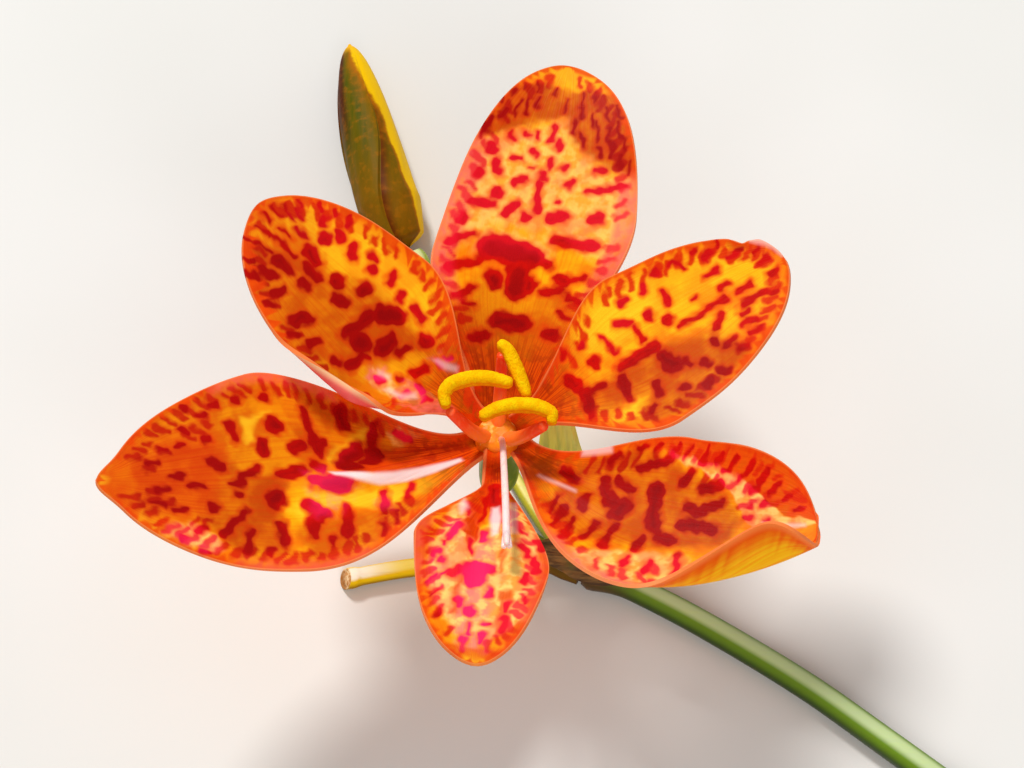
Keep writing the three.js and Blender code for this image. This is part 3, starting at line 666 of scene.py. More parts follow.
def bar_depth(x, y, bar):
    """How deep a point lies inside a rounded bar, in millimetres, and below 0 outside it."""
    bx, by, long, wide, turn = bar
    s, c = math.sin(math.radians(turn)), math.cos(math.radians(turn))
    along, aside = (x - bx) * s + (y - by) * c, (x - bx) * c - (y - by) * s
    past = np.maximum(np.abs(along) - max(long - wide, 0) / 2, 0)
    return wide / 2 * (1 - 0.18 * np.clip(along / long * 2, -1, 1) * math.cos(bx * 9 + by)) - np.hypot(past, aside)


def area_depth(x, y, corners):
    """How deep a point lies inside an outline given by its corners."""
    depth, inside = np.full_like(x, 99.0), np.zeros(x.shape, bool)
    for (x0, y0), (x1, y1) in zip(corners, corners[1:] + corners[:1]):
        share = np.clip(((x - x0) * (x1 - x0) + (y - y0) * (y1 - y0)) / ((x1 - x0) ** 2 + (y1 - y0) ** 2), 0, 1)
        depth = np.minimum(depth, np.hypot(x - x0 - share * (x1 - x0), y - y0 - share * (y1 - y0)))
        inside ^= ((y0 > y) != (y1 > y)) & (x < (x1 - x0) * (y - y0) / (y1 - y0 + 1e-9) + x0)
    return np.where(inside, depth, -depth)


def paint_fields(shape, blotches, seed, x, y, margin):
    """How deep a point lies inside the nearest blotch or dash and inside the streaky rim, and how strongly it
    belongs to each kind of toned area."""
    wave = np.sin(x * 2.3 + y * 3.1) + np.sin(x * 4.1 - y * 2.2 + 2) + 0.7 * np.sin(x * 7.3 + y * 6.1 + 1)
    drift = np.sin(y * 2.6 - x * 1.7 + 1) + np.sin(y * 4.4 + x * 3.6) + 0.7 * np.sin(y * 8.1 - x * 5.7 + 3)
    px, py = x + 0.07 * wave, y + 0.07 * drift
    fields = {}
    for name, group, grow, soft in (("spot", blotches, 1.06, 0.09), ("dash", edge_dashes(shape, seed), 1.0, 0.05)):
        inside = np.zeros_like(x)
        for bx, by, long, wide, turn in group:
            depth = bar_depth(px, py, (bx, by, long * grow, wide * grow, turn))
            inside += np.exp(np.clip(depth, -1.2, 2) / soft)
        fields[name] = soft * np.log(inside + 1e-12)
    for kind in AREA_KINDS:
        fields[kind] = np.zeros_like(x)
    for kind, soft, strength, corners in shape["areas"]:
        place = (x, y) if kind == "painted_glint" else (px, py)
        amount = strength * smooth(area_depth(*place, corners) / (2 * soft) + 0.5)
        fields[kind] = np.maximum(fields[kind], amount)
    fields["blush"] *= smooth((shape.get("blush", 1.1) - margin) / 0.8)
    chance = np.random.default_rng(seed + 100)
    t = np.linspace(0, 1, 500)
    reach = np.zeros_like(x)
    for side in (1, -1):
        edge = half_width(shape, t, side)[1]
        run = np.concatenate(([0], np.cumsum(np.hypot(np.diff(edge), np.diff(t * shape["length"])))))
        knots = chance.random(STREAK_COUNT) ** 1.4
        here = np.interp(y / shape["length"] + 0.6 * margin / shape["length"], t, run) / STREAK_PITCH
        reach = np.where(x * side >= 0, np.interp(here, np.arange(STREAK_COUNT), knots), reach)
    fields["rim"] = 0.05 + shape["rim"] * reach - margin
    return fields


def add_field(piece, name, values):
    field = piece.data.attributes.new(name, "FLOAT", "POINT")
    field.data.foreach_set("value", values.astype(np.float32))


def read_field(finish, name):
    return add_node(finish.node_tree, "Attribute", attribute_name=name).outputs["Fac"]


def uv_streaks(finish, across, along):
    mapping = add_node(finish.node_tree, "Mapping")
    mapping.inputs["Scale"].default_value = (across, along, 1)
    feed(mapping.inputs["Vector"], add_node(finish.node_tree, "UVMap", uv_map="UVMap").outputs["UV"])
    return speckle(mapping.outputs["Vector"], 1.0)


def petal_face(name, yellow, orange, shade_orange):
    """The spotted upper side of a tepal: its ground, the dashes and streaks at its margins, then its blotches. It is
    toned with painted shade, painted light and painted highlights.
    """
    finish = new_finish(name, 0.45, under=0.03, under_depth=0.3, shine=0.05)
    margin, spot = read_field(finish, "margin"), read_field(finish, "spot")
    deep, lit, pale, red_and_shade, blush, rose, painted_glint = (read_field(finish, kind) for kind in AREA_KINDS)
    cells, flecks, patches = (
        speckle(place_coords(finish), *grain) for grain in (CELL_GRAIN, FLECK_GRAIN, PATCH_GRAIN)
    )
    veins = uv_streaks(finish, 60, 3.5)

    def roughen(value, grain, share):
        return reckon("ADD", value, reckon("MULTIPLY", grain, share))

    # the ground under painted shade, deep orange, and under painted light, cream
    shaded_ground = tint(between(patches, 0.36, 0.6), (216, 96, 0), shade_orange)
    lit_pale_ground = tint(between(flecks, 0.42, 0.62), (255, 206, 108), (255, 160, 62))
    claw = tint(between(veins, 0.4, 0.62), (226, 78, 0), (168, 16, 0))
    # the halo round a spot: pinker under painted light, redder under painted shade
    halo = tint(pale, (236, 70, 2), (250, 104, 56))
    ground = layer(
        yellow,
        (between(patches, 0.38, 0.62, 0.0, 0.75), orange),
        (between(roughen(margin, flecks, 1.6), 0.9, 2.4, 0.8, 0.0), orange),
        (between(veins, 0.45, 0.7, 0.0, 0.3), orange),
        # painted shade
        (deep, tint(between(veins, 0.4, 0.7, 0.0, 0.5), shaded_ground, (196, 44, 0))),
        # painted light
        (lit, tint(veins, (255, 214, 40), (255, 176, 12))),
        # painted light, in part the tepal's own paler cream
        (pale, tint(between(patches, 0.5, 0.66, 0.0, 0.6), lit_pale_ground, (252, 124, 84))),
        (reckon("MULTIPLY", rose, between(flecks, 0.4, 0.62, 0.1, 0.6)), (254, 116, 132)),
        # red toning, in part painted shade in grooves and folds
        (red_and_shade, tint(veins, (240, 84, 2), (200, 30, 0))),
        (read_field(finish, "claw"), tint(between(flecks, 0.48, 0.6, 0.0, 0.7), claw, (150, 10, 0))),
        (between(spot, -0.34, 0.0, 0.0, 0.7), tint(deep, halo, (196, 44, 0))),
        (reckon("MULTIPLY", blush, between(flecks, 0.36, 0.6, 0.9, 0.45)), (246, 108, 88)),
    )
    dash = layer(
        (228, 52, 2),
        (veins, (204, 18, 0)),
        # the dashes darker under painted shade and pinker under painted light
        (deep, (168, 14, 0)),
        (reckon("MAXIMUM", blush, pale), (236, 48, 54)),
        (rose, (246, 40, 92)),
    )
    rim = tint(blush, tint(flecks, (244, 84, 2), (204, 20, 0)), (246, 116, 100))
    rim_share = between(roughen(read_field(finish, "rim"), cells, 0.1), -0.2, 0.3)
    ground = layer(
        ground,
        (between(roughen(read_field(finish, "dash"), cells, 0.16), -0.12, 0.2, 0.0, 0.95), dash),
        (reckon("MULTIPLY", between(blush, 0.0, 1.0, 0.85, 0.3), rim_share), rim),
        # a painted highlight along the very edge
        (between(margin, 0.0, 0.12, 0.5, 0.0), (255, 160, 90)),
    )
    # where painted light and pink toning lie, the spots take a lit pink crimson
    lit_pink_share = reckon("MAXIMUM", pale, reckon("MAXIMUM", blush, reckon("MULTIPLY", lit, 0.5)))
    blotch = layer(
        (206, 12, 0),
        (between(flecks, 0.4, 0.65, 0.0, 0.6), (182, 6, 0)),
        # the spots darker under painted shade
        (deep, (150, 4, 0)),
        (between(spot, 0.25, 0.6, 0.0, 0.6), (132, 0, 4)),
        # the spots' lit pink crimson, painted light
        (reckon("MULTIPLY", lit_pink_share, between(spot, 0.1, 1.0, 1.0, 0.45)), (232, 20, 42)),
        (rose, (250, 36, 98)),
    )
    petal = layer(
        ground,
        (between(roughen(spot, cells, 0.12), -0.03, 0.2), blotch),
        # painted highlights, nearly white
        (reckon("MULTIPLY", painted_glint, 0.9), (255, 230, 226)),
    )
    return coat(finish, petal, roughen(reckon("MULTIPLY", veins, 0.9), cells, 0.5), 0.04)


def petal_back(name, ground, vein, streak, edge_colour):
    """The plain underside of a tepal, veined lengthwise, with the rim's streaks showing at its margin."""
    finish = new_finish(name, 0.45, under=0.03, under_depth=0.3, shine=0.05)
    veins = uv_streaks(finish, 46, 2.5)
    back = layer(
        ground,
        (between(veins, 0.4, 0.68, 0.0, 0.8), vein),
        (between(read_field(finish, "rim"), -1.5, 0.1, 0.0, 0.9), streak),
        (between(read_field(finish, "margin"), 0.0, 0.5, 0.9, 0.0), edge_colour),
    )
    cells = speckle(place_coords(finish), *CELL_GRAIN)
    return coat(finish, back, reckon("ADD", veins, reckon("MULTIPLY", cells, 0.4)), 0.05)


outer_face = petal_face("outer_petal_face", (255, 174, 8), (244, 108, 0), (184, 58, 0))
inner_face = petal_face("inner_petal_face", (255, 180, 14), (244, 112, 0), (190, 62, 0))
outer_back = petal_back("outer_petal_back", (255, 190, 22), (255, 142, 4), (240, 70, 0), (255, 132, 60))
inner_back = petal_back("inner_petal_back", (255, 140, 132), (252, 108, 112), (246, 96, 92), (255, 206, 150))


def grow_tepal(node, shape, blotches, seed):
    tepal, across, along = add_sheet(node + "_petal", ACROSS_STEPS, ALONG_STEPS)
    t = 1.03 * (1 - (1 - along) ** 1.4) - 0.03  # rows crowd towards the round tip; the first lie in the cup
    places, flat, margin = grow_blade(shape, across, t)
    lay(tepal, places)
    y = shape["length"] * t
    for field, values in paint_fields(shape, blotches, seed, flat, y, margin).items():
        add_field(tepal, field, values)
    add_field(tepal, "margin", margin)
    add_field(tepal, "claw", 0.8 * (1 - smooth((y - 2.5) / 5)))
    outer = node.startswith("outer")
    tepal.data.materials.append(outer_face if outer else inner_face)
    tepal.data.materials.append(outer_back if outer else inner_back)
    thicken(tepal, TEPAL_THICKNESS)
    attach(tepal, "root")
    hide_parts(node)


# A blotch is its place to the left of the midrib and along it, its length and width, and how far its length
# turns from the midrib, leaning to the left. A toned area is its kind, how soft its edge is, its strength and
# its corners. A fold or a lobe starts with its side: 1 is the left one, seen from the claw.

# the top tepal: hooded, its upper third in painted shade as if cast by its own tip
# painted light lies over its middle and at its very tip, and painted shade near its claw
grow_tepal(
    "outer_tepal_top",
    {
        "seat": OUTER_SEAT, "azimuth": 79, "length": 25.75, "pitch": (30, 17, 0), "sway": 0, "claw": 2.1,
        "left": (7.1, 0, 0.415, 2.65), "right": (7.35, 0, 0.585, 3.85), "tip": 0.47, "cup": (0.5, 0.135, 0.235),
        "ruffle": (2.2, 0.43, 0.36), "ridges": [], "folds": [],
        "rim": 0.6, "second_row": 1, "blush": 1.9,
        "areas": [
            ("deep", 0.3, 0.82, [
                (8, 18.2), (5.1, 19), (3.5, 19.9), (2, 20.6), (0.5, 21.3), (-0.5, 21.9), (-0.85, 20.7), (-1.3, 19.9),
                (-2, 19.4), (-3, 18.8), (-4.8, 18.1), (-6.2, 18.3), (-8, 18.5), (-8, 23), (-3, 24), (2, 24), (8, 23)]),
            ("deep", 1, 0.6, [(4, 1), (-3, 1), (-4, 6), (-3, 9.5), (0, 8), (3, 9.5), (5, 6)]),
            ("lit", 0.7, 0.45, [(3, 24.3), (-3, 24.3), (-2, 27), (2, 27)]),
            ("pale", 0.7, 0.62, [
                (6.6, 10), (6.3, 14), (5.2, 18.8), (2, 20.3), (-0.6, 21.5), (-1.3, 19.6), (-4.8, 17.9), (-6.5, 18),
                (-6.9, 14), (-5, 11.5), (-2, 13), (2, 13.3), (4, 12.2)]),
            ("pale", 0.5, 0.5, [(4, 10.8), (4, 12.8), (-1.4, 12.8), (-1.4, 11.2), (1, 11)]),
            ("blush", 1, 1, [(7.6, 7.5), (7.2, 18.8), (4.5, 18.8), (4.5, 7.5)]),
            ("blush", 1, 0.9, [(-7.6, 9), (-7.6, 17.8), (-4.5, 17.8), (-4.5, 9)]),
        ],
    },
    [
        (1.3, 11.3, 4.6, 1.8, 88), (2.6, 11.6, 2, 1.3, 80), (0.6, 9.3, 2.8, 1.7, 0), (-0.3, 9.2, 1.5, 1, -20),
        (2.2, 9.1, 1.5, 1.1, 30),
        (0.6, 6.4, 3, 1.2, 90), (-1.2, 10.9, 1.1, 0.8, 60), (-3.1, 12.6, 3.7, 0.8, 90), (-1.4, 14.3, 1.8, 0.8, -72),
        (-4, 14.6, 1.3, 0.9, -60), (-4.3, 16.8, 2.9, 0.5, -72), (-1.9, 16.9, 0.9, 0.5, -45),
        (-3.8, 18.1, 1, 0.4, 100), (0.25, 15.5, 2.4, 0.6, 6), (0.8, 13.9, 1, 0.7, 90), (1.9, 14.4, 1.7, 0.7, -40),
        (4.1, 14.4, 1.9, 0.7, 98), (3.2, 15.3, 1.1, 0.8, 90), (1.7, 16.5, 1.3, 0.5, -65), (3.5, 17.2, 1.3, 0.6, 18),
        (4.6, 16.5, 0.9, 0.7, 0), (2.2, 18.1, 0.9, 0.5, -80), (4.1, 18.4, 1, 0.7, 0), (2.9, 19.6, 0.9, 0.4, 45),
        (0.2, 17.2, 0.9, 0.5, 0), (-0.2, 18.1, 0.9, 0.6, 20), (-1.2, 18, 0.9, 0.5, -30), (1.1, 18.7, 0.8, 0.4, 45),
        (-0.5, 19.5, 0.9, 0.6, 0), (0.1, 20.3, 1.4, 0.5, 0), (1.2, 20.1, 0.8, 0.4, 0), (1.9, 20, 0.6, 0.4, 30),
        (-1.1, 15.4, 0.6, 0.4, 90), (1.1, 17.6, 0.6, 0.3, 90), (5.3, 13, 1.3, 0.8, -30), (5, 11.7, 2.4, 0.6, -62),
        (4.4, 9.9, 2.8, 0.6, -65), (4.2, 7.9, 1.8, 0.6, -55), (3.6, 7.2, 1.3, 0.4, 90), (-2.5, 9.9, 1.5, 0.9, 90),
        (-3.8, 10.2, 1.2, 0.5, -75), (-1.9, 9, 1.8, 0.6, -80), (-3.6, 8.6, 1.6, 0.6, 70), (-2.4, 6, 1.4, 0.9, 90),
        (2.6, 5, 1.5, 0.8, -70), (-3.2, 7.4, 1.2, 0.5, 60),
        (4.7, 20.3, 1.5, 0.5, -20), (3.8, 21.2, 1.3, 0.5, -12), (2.9, 21.8, 1.6, 0.3, -5), (2.3, 22.1, 1.3, 0.3, -3),
        (1.6, 22.6, 1.1, 0.3, 0), (4.2, 22.2, 0.8, 0.24, -20), (3.4, 22.9, 0.9, 0.24, -15),
        (2.7, 23.6, 0.8, 0.24, -10),
        (0.5, 23.6, 0.9, 0.24, 0), (1.9, 23.8, 0.9, 0.24, 0), (-1.6, 22.3, 1.1, 0.3, 5), (-2.5, 21.9, 1.2, 0.3, 12),
        (-3, 21.1, 1.5, 0.3, 10), (-3.9, 20.7, 1.5, 0.3, 15), (-4.5, 21.3, 1.4, 0.3, 20), (-4.3, 19.7, 1.2, 0.4, 10),
        (-5.1, 20.3, 1.4, 0.3, 15), (-5, 18.9, 1.3, 0.4, 5), (-5.7, 18.7, 1.1, 0.3, 5), (-3.4, 22.5, 1.2, 0.24, 20),
        (-4.3, 22.6, 1.2, 0.24, 25), (-1.5, 23.4, 1, 0.24, 10), (-1.3, 21.1, 1.2, 0.4, 0), (-2.1, 20.2, 1.4, 0.4, 20),
        (-3.4, 19.6, 1, 0.4, 15), (-0.4, 22.7, 1, 0.24, 0), (-2.4, 23.6, 0.9, 0.24, 15), (5, 19.3, 0.9, 0.3, -20),
    ],
    seed=11,
)

# the lower right tepal: its right margin is folded in over the blade near the tip
# painted shade on its left margin band and mid blade, painted light beside them, painted highlights near claw and tip
grow_tepal(
    "outer_tepal_right",
    {
        "seat": OUTER_SEAT, "azimuth": -26.4, "length": 24.35, "pitch": (22, 19.5, 14.5), "sway": 60, "claw": 0.85,
        "left": (6.3, -0.03, 0.56, 6.7), "right": (6.35, -0.03, 0.52, 11.8), "tip": 0.38, "cup": (0.5, 0.28, 0.25),
        "ruffle": (1.6, 0.73, 0.45), "ridges": [(-0.6, 0.45, 0.9, 0, 0.45)],
        "folds": [(-1, 0.467, 1.2, 1.03, -0.15, 140, 0.62)],
        "rim": 0.6, "second_row": 0.6,
        "areas": [
            ("red_and_shade", 0.15, 0.85, [
                (7, 8), (5.6, 8.5), (4.9, 11.5), (4.95, 13), (4.75, 15), (4.4, 16.8), (3.8, 18.6), (3, 19.8),
                (2.2, 20.9), (1.2, 22), (0.6, 23.2), (0.3, 24.4), (-1, 26), (8, 26)]),
            ("pale", 0.12, 1, [
                (5, 11.6), (4.6, 12.2), (4.5, 13.5), (4.2, 15.2), (3.6, 16.6), (2.9, 17.8), (2.2, 18.6), (1.4, 19),
                (0.6, 19.3), (0.2, 20), (0.1, 22), (0, 24.3), (0.4, 24.3), (0.7, 23), (1.2, 22), (2.2, 20.8),
                (3, 19.8), (3.9, 18.6), (4.5, 16.8), (4.8, 15), (5, 13)]),
            ("deep", 0.5, 0.8, [
                (4.6, 9), (4.3, 13), (3.4, 16.3), (2.2, 18), (0.6, 18.9), (-1, 18.5), (-2.2, 14), (-3.4, 9),
                (-2.5, 5), (2, 5)]),
            ("pale", 0.4, 0.9, [
                (-2.4, 16), (-2.8, 13.5), (-3.6, 11), (-5, 9.4), (-6.6, 10), (-6.6, 15.8), (-4, 16.6)]),
            ("blush", 0.8, 1, [(-4.5, 7), (-4.5, 16), (-7, 16), (-7, 7)]),
            ("painted_glint", 0.2, 0.5, [(-0.4, 6.4), (-0.9, 3), (-0.7, 3), (-0.2, 6.2)]),
            ("painted_glint", 0.2, 0.6, [(3.4, 6.9), (2.2, 4.6), (2.6, 4.4), (3.9, 6.6)]),
            ("painted_glint", 0.2, 0.6, [(0.6, 20.6), (0.2, 23.6), (0, 23.6), (0.2, 20.6)]),
        ],
    },
    [
        (0.9, 12.3, 3.6, 1.1, -68), (2.2, 12, 1.4, 1.2, 0), (-1.3, 14, 1.7, 0.8, -10), (-0.7, 13.2, 1.2, 0.7, -40),
        (-2.2, 12.6, 1.7, 0.7, 95), (-4.1, 12.6, 1.4, 0.4, 95), (-3.9, 14, 1.4, 0.5, -80), (-3.2, 15.6, 2, 0.5, 100),
        (0.1, 15.4, 2.1, 1.1, 0), (0, 17, 1.3, 0.8, -15), (1.6, 16.5, 2.5, 0.7, 27), (1.4, 14.9, 1.3, 1, 0),
        (3.1, 16.4, 2.3, 0.8, 15), (3.5, 14, 1.7, 0.9, 60), (4.7, 15.1, 1.1, 0.6, 0), (4.3, 17.4, 0.9, 0.5, 10),
        (3.8, 18.6, 0.8, 0.5, 20), (3, 19.8, 0.9, 0.5, 30), (2, 20.7, 0.8, 0.5, 40), (1, 19.5, 1, 0.6, 0),
        (0.7, 20.9, 0.7, 0.3, 0), (1.8, 19.5, 0.6, 0.3, 20), (3.9, 10.9, 3.3, 0.8, 28), (1.8, 9.3, 2.3, 0.7, -12),
        (0, 10, 2, 1.3, 80), (0.3, 9.2, 1.4, 1, 0), (-2.3, 10.5, 2.6, 0.6, -82), (-2.6, 9.2, 2.3, 0.5, 90),
        (-3.2, 8, 2.7, 0.5, -72), (-2.7, 6.9, 2.5, 0.5, -68), (-2.1, 5.9, 2, 0.4, -68), (1, 8, 2.6, 0.9, -42),
        (-0.7, 7.4, 1.6, 0.7, -70), (0.6, 4.7, 2.2, 0.9, -10), (3.2, 7.4, 1.4, 0.6, 50), (4.6, 9.2, 1.2, 0.5, 30),
        (5.3, 12.2, 1.2, 0.4, 60), (5.4, 13.6, 1.3, 0.4, 60), (5.4, 15.2, 1.2, 0.5, 60), (5.1, 16.6, 1.3, 0.5, 55),
        (4.9, 18.1, 1.3, 0.5, 50), (4.4, 19.4, 1.3, 0.5, 45), (3.8, 20.6, 1.4, 0.5, 40), (3, 21.6, 1.4, 0.5, 35),
        (2.2, 22.4, 1.2, 0.5, 25), (1.3, 23.2, 1, 0.5, 15), (4.9, 10.6, 1.2, 0.4, 60),
    ],
    seed=12,
)

# the lower left tepal: the longest and widest, with a bright ridge beside its midrib and a pointed tip
# a painted highlight runs along the ridge, with painted shade in the groove beside it and over much of the blade
grow_tepal(
    "outer_tepal_left",
    {
        "seat": OUTER_SEAT, "azimuth": 195.5, "length": 26.65, "pitch": (20, 17, 15), "sway": -21.5, "claw": 0.95,
        "left": (8.4, -0.12, 0.545, 2.8), "right": (9.25, 0, 0.577, 3.15), "tip": 0.6, "cup": (0.55, 0.045, 0.06),
        "ruffle": (2.25, 0.94, 0.38), "ridges": [(0.9, 0.75, 0.8, 0, 0.58)], "folds": [],
        "point": 0.8, "rim": 0.6, "second_row": 0.75,
        "areas": [
            ("deep", 0.7, 0.9, [
                (2.4, 25), (-2, 25.2), (-2.8, 22.5), (-3.4, 19), (-1.2, 17), (-0.6, 15), (0.5, 13.8), (2.6, 15),
                (5.6, 15), (5.8, 18), (4, 19.6), (2.6, 21)]),
            ("deep", 0.6, 0.8, [(-1.4, 12.4), (-6.5, 13.5), (-6, 10), (-4, 6.5), (-2, 3), (-0.4, 3), (-0.4, 8)]),
            ("deep", 1.2, 0.6, [(-9, 10), (-9, 20), (-4, 27), (3, 27), (1.5, 20), (0, 14), (-1, 8), (-4, 6)]),
            ("lit", 0.25, 1, [(1.1, 26.25), (-1.1, 26.25), (-1.1, 28), (1.1, 28)]),
            ("deep", 0.7, 0.6, [(3.8, 14.5), (6.6, 14), (6.4, 10), (4.2, 5.5), (3.4, 6.5), (3.6, 10)]),
            ("pale", 0.25, 0.9, [
                (5.2, 19.3), (5.3, 20.4), (4.4, 22), (3.7, 23.3), (3.1, 22.5), (3, 21.3), (4.2, 19.8)]),
            ("lit", 0.35, 0.9, [
                (2.6, 14.6), (1.3, 13), (2, 9), (1.7, 5), (1.5, 1.5), (2.5, 1.5), (3.2, 6), (3.3, 9), (2.6, 11.2),
                (3.4, 13.8)]),
            ("lit", 0.25, 0.35, [(-0.4, 10.4), (-1.4, 10.9), (-2.2, 9), (-3.4, 6.6), (-2.4, 6.7), (-1.5, 8.4)]),
            ("lit", 0.3, 0.7, [(-3, 15.7), (-2.9, 16.3), (-4.8, 16.4), (-5.3, 14), (-4.5, 15.3)]),
            ("lit", 0.4, 0.8, [(2.2, 24.4), (4.2, 22.6), (5.6, 19.8), (5.2, 22), (3.2, 25.2)]),
            ("pale", 0.3, 0.8, [(-1.2, 5.4), (-1.4, 3.4), (-2.4, 4.6), (-2.2, 5.6)]),
            ("blush", 0.8, 0.3, [(5, 10), (5, 18.5), (8.6, 18.5), (8.6, 10)]),
            ("red_and_shade", 0.5, 0.6, [(6.6, 9), (6.8, 14), (6.2, 19), (4.6, 22.6), (9, 22), (9, 9)]),
            ("blush", 0.8, 0.5, [(-5, 9), (-5, 18), (-9, 18), (-9, 9)]),
            ("red_and_shade", 0.25, 0.9, [
                (1.2, 8.2), (1.3, 6.6), (1.35, 5), (1.1, 1.5), (0.9, 0), (-0.8, 0), (-1, 4), (-0.8, 7.5), (0.2, 9)]),
            ("rose", 0.5, 0.45, [
                (-0.2, 12.6), (1.4, 12.9), (3.4, 12.7), (3.4, 11.2), (2.2, 10), (1.7, 9.3), (0.6, 9.8), (-0.4, 11.3)]),
            ("rose", 0.4, 0.35, [(2.3, 8.4), (3.4, 8.5), (4, 7.6), (2.6, 7.3)]),
            ("rose", 0.3, 0.4, [(5.4, 20.6), (4.4, 20.6), (3.9, 23.2), (4.6, 22.6)]),
            ("painted_glint", 0.16, 1, [
                (0.1, 10.9), (0.5, 9.6), (0.95, 8.2), (1.1, 6.6), (1.1, 4.6), (0.95, 1.2), (1.3, 1.2), (1.65, 3.6),
                (1.8, 5.8), (1.65, 7.8), (1.1, 9.4), (0.5, 10.7)]),
            ("deep", 0.3, 1, [(0.9, 9), (0.8, 5), (0.2, 3), (-0.9, 3), (-1.6, 8), (-0.9, 10.6), (0.2, 10)]),
            ("red_and_shade", 1, 0.55, [(-5, 19), (-3, 26), (0, 27), (3, 26), (4.4, 22), (2, 19.4), (-2, 18)]),
        ],
    },
    [
        (-0.3, 13.6, 2.5, 0.9, 5), (1.5, 15.1, 1.8, 1.4, 60), (-2.4, 15.2, 1.5, 1, 90), (-0.5, 16.7, 2.1, 0.7, 25),
        (-0.1, 9.3, 2, 0.9, -15), (-0.3, 7.6, 1.6, 0.6, 0), (0.2, 17.6, 1.2, 0.5, 5), (1.1, 17.6, 0.9, 0.6, 0),
        (3.2, 18.3, 3, 0.7, 42), (2, 19.6, 0.9, 0.8, 0),
        (4.6, 17.6, 2.1, 0.6, 70), (4.4, 15.3, 2.1, 0.7, 88), (4.2, 13.2, 2.2, 0.7, 80), (2.5, 12.8, 1.5, 1, -30),
        (3.3, 12.3, 1.4, 0.9, 30), (1, 10.8, 2.4, 1.4, -5), (0.6, 12.2, 1.2, 0.8, 0), (-0.5, 11.6, 1.5, 0.8, -40),
        (4.1, 10.8, 2.9, 0.7, 72), (3.2, 7.9, 2.3, 0.5, 70), (2.7, 5.9, 1.9, 0.5, 55), (5.4, 8.8, 1.2, 0.4, 70),
        (4.6, 7.6, 1.2, 0.3, 65), (-2.3, 12.6, 1.7, 0.9, 10), (-4.1, 13.8, 1.6, 1.3, -30),
        (-3.4, 11.3, 4.2, 0.7, -85),
        (-2.3, 10.7, 1, 0.8, 0), (-1.1, 8.9, 2.3, 1.2, 30), (-3.8, 8.7, 2.1, 1.1, 90), (-1.8, 7, 3.2, 0.7, 65),
        (-0.6, 7.2, 1.4, 0.9, 30), (-1.8, 4.7, 1.7, 0.5, -40), (-6.3, 16.4, 0.9, 0.7, 0), (-6, 18.2, 0.9, 0.7, 0),
        (-5.8, 20.6, 0.9, 0.7, 0), (-6.4, 14.2, 0.9, 0.7, 0), (-3.8, 17.2, 1.9, 0.7, -80),
        (-1.4, 18.9, 1.5, 0.8, -45),
        (-5.2, 19.2, 0.8, 0.5, 0), (-3.3, 19.2, 0.9, 0.6, 0), (-2.6, 22.6, 0.9, 0.4, 0), (-1.5, 23.4, 1.1, 0.4, 15),
        (-2.9, 21.2, 1, 0.5, 0), (-4.1, 20.8, 1, 0.5, -20), (1.6, 23.3, 1.1, 0.4, -10), (0.5, 22.8, 1.2, 0.4, 0),
        (-0.5, 21.8, 1.2, 0.5, 0), (0.3, 20.5, 1.3, 0.5, 0), (2.1, 21.8, 1.1, 0.5, -10), (3.6, 20.6, 1, 0.5, 20),
        (4.3, 21.9, 0.8, 0.5, 0), (5.3, 20.6, 0.8, 0.4, 0), (5.8, 16.4, 0.9, 0.4, 70), (5.6, 12.2, 1.2, 0.4, 75),
    ],
    seed=13,
)
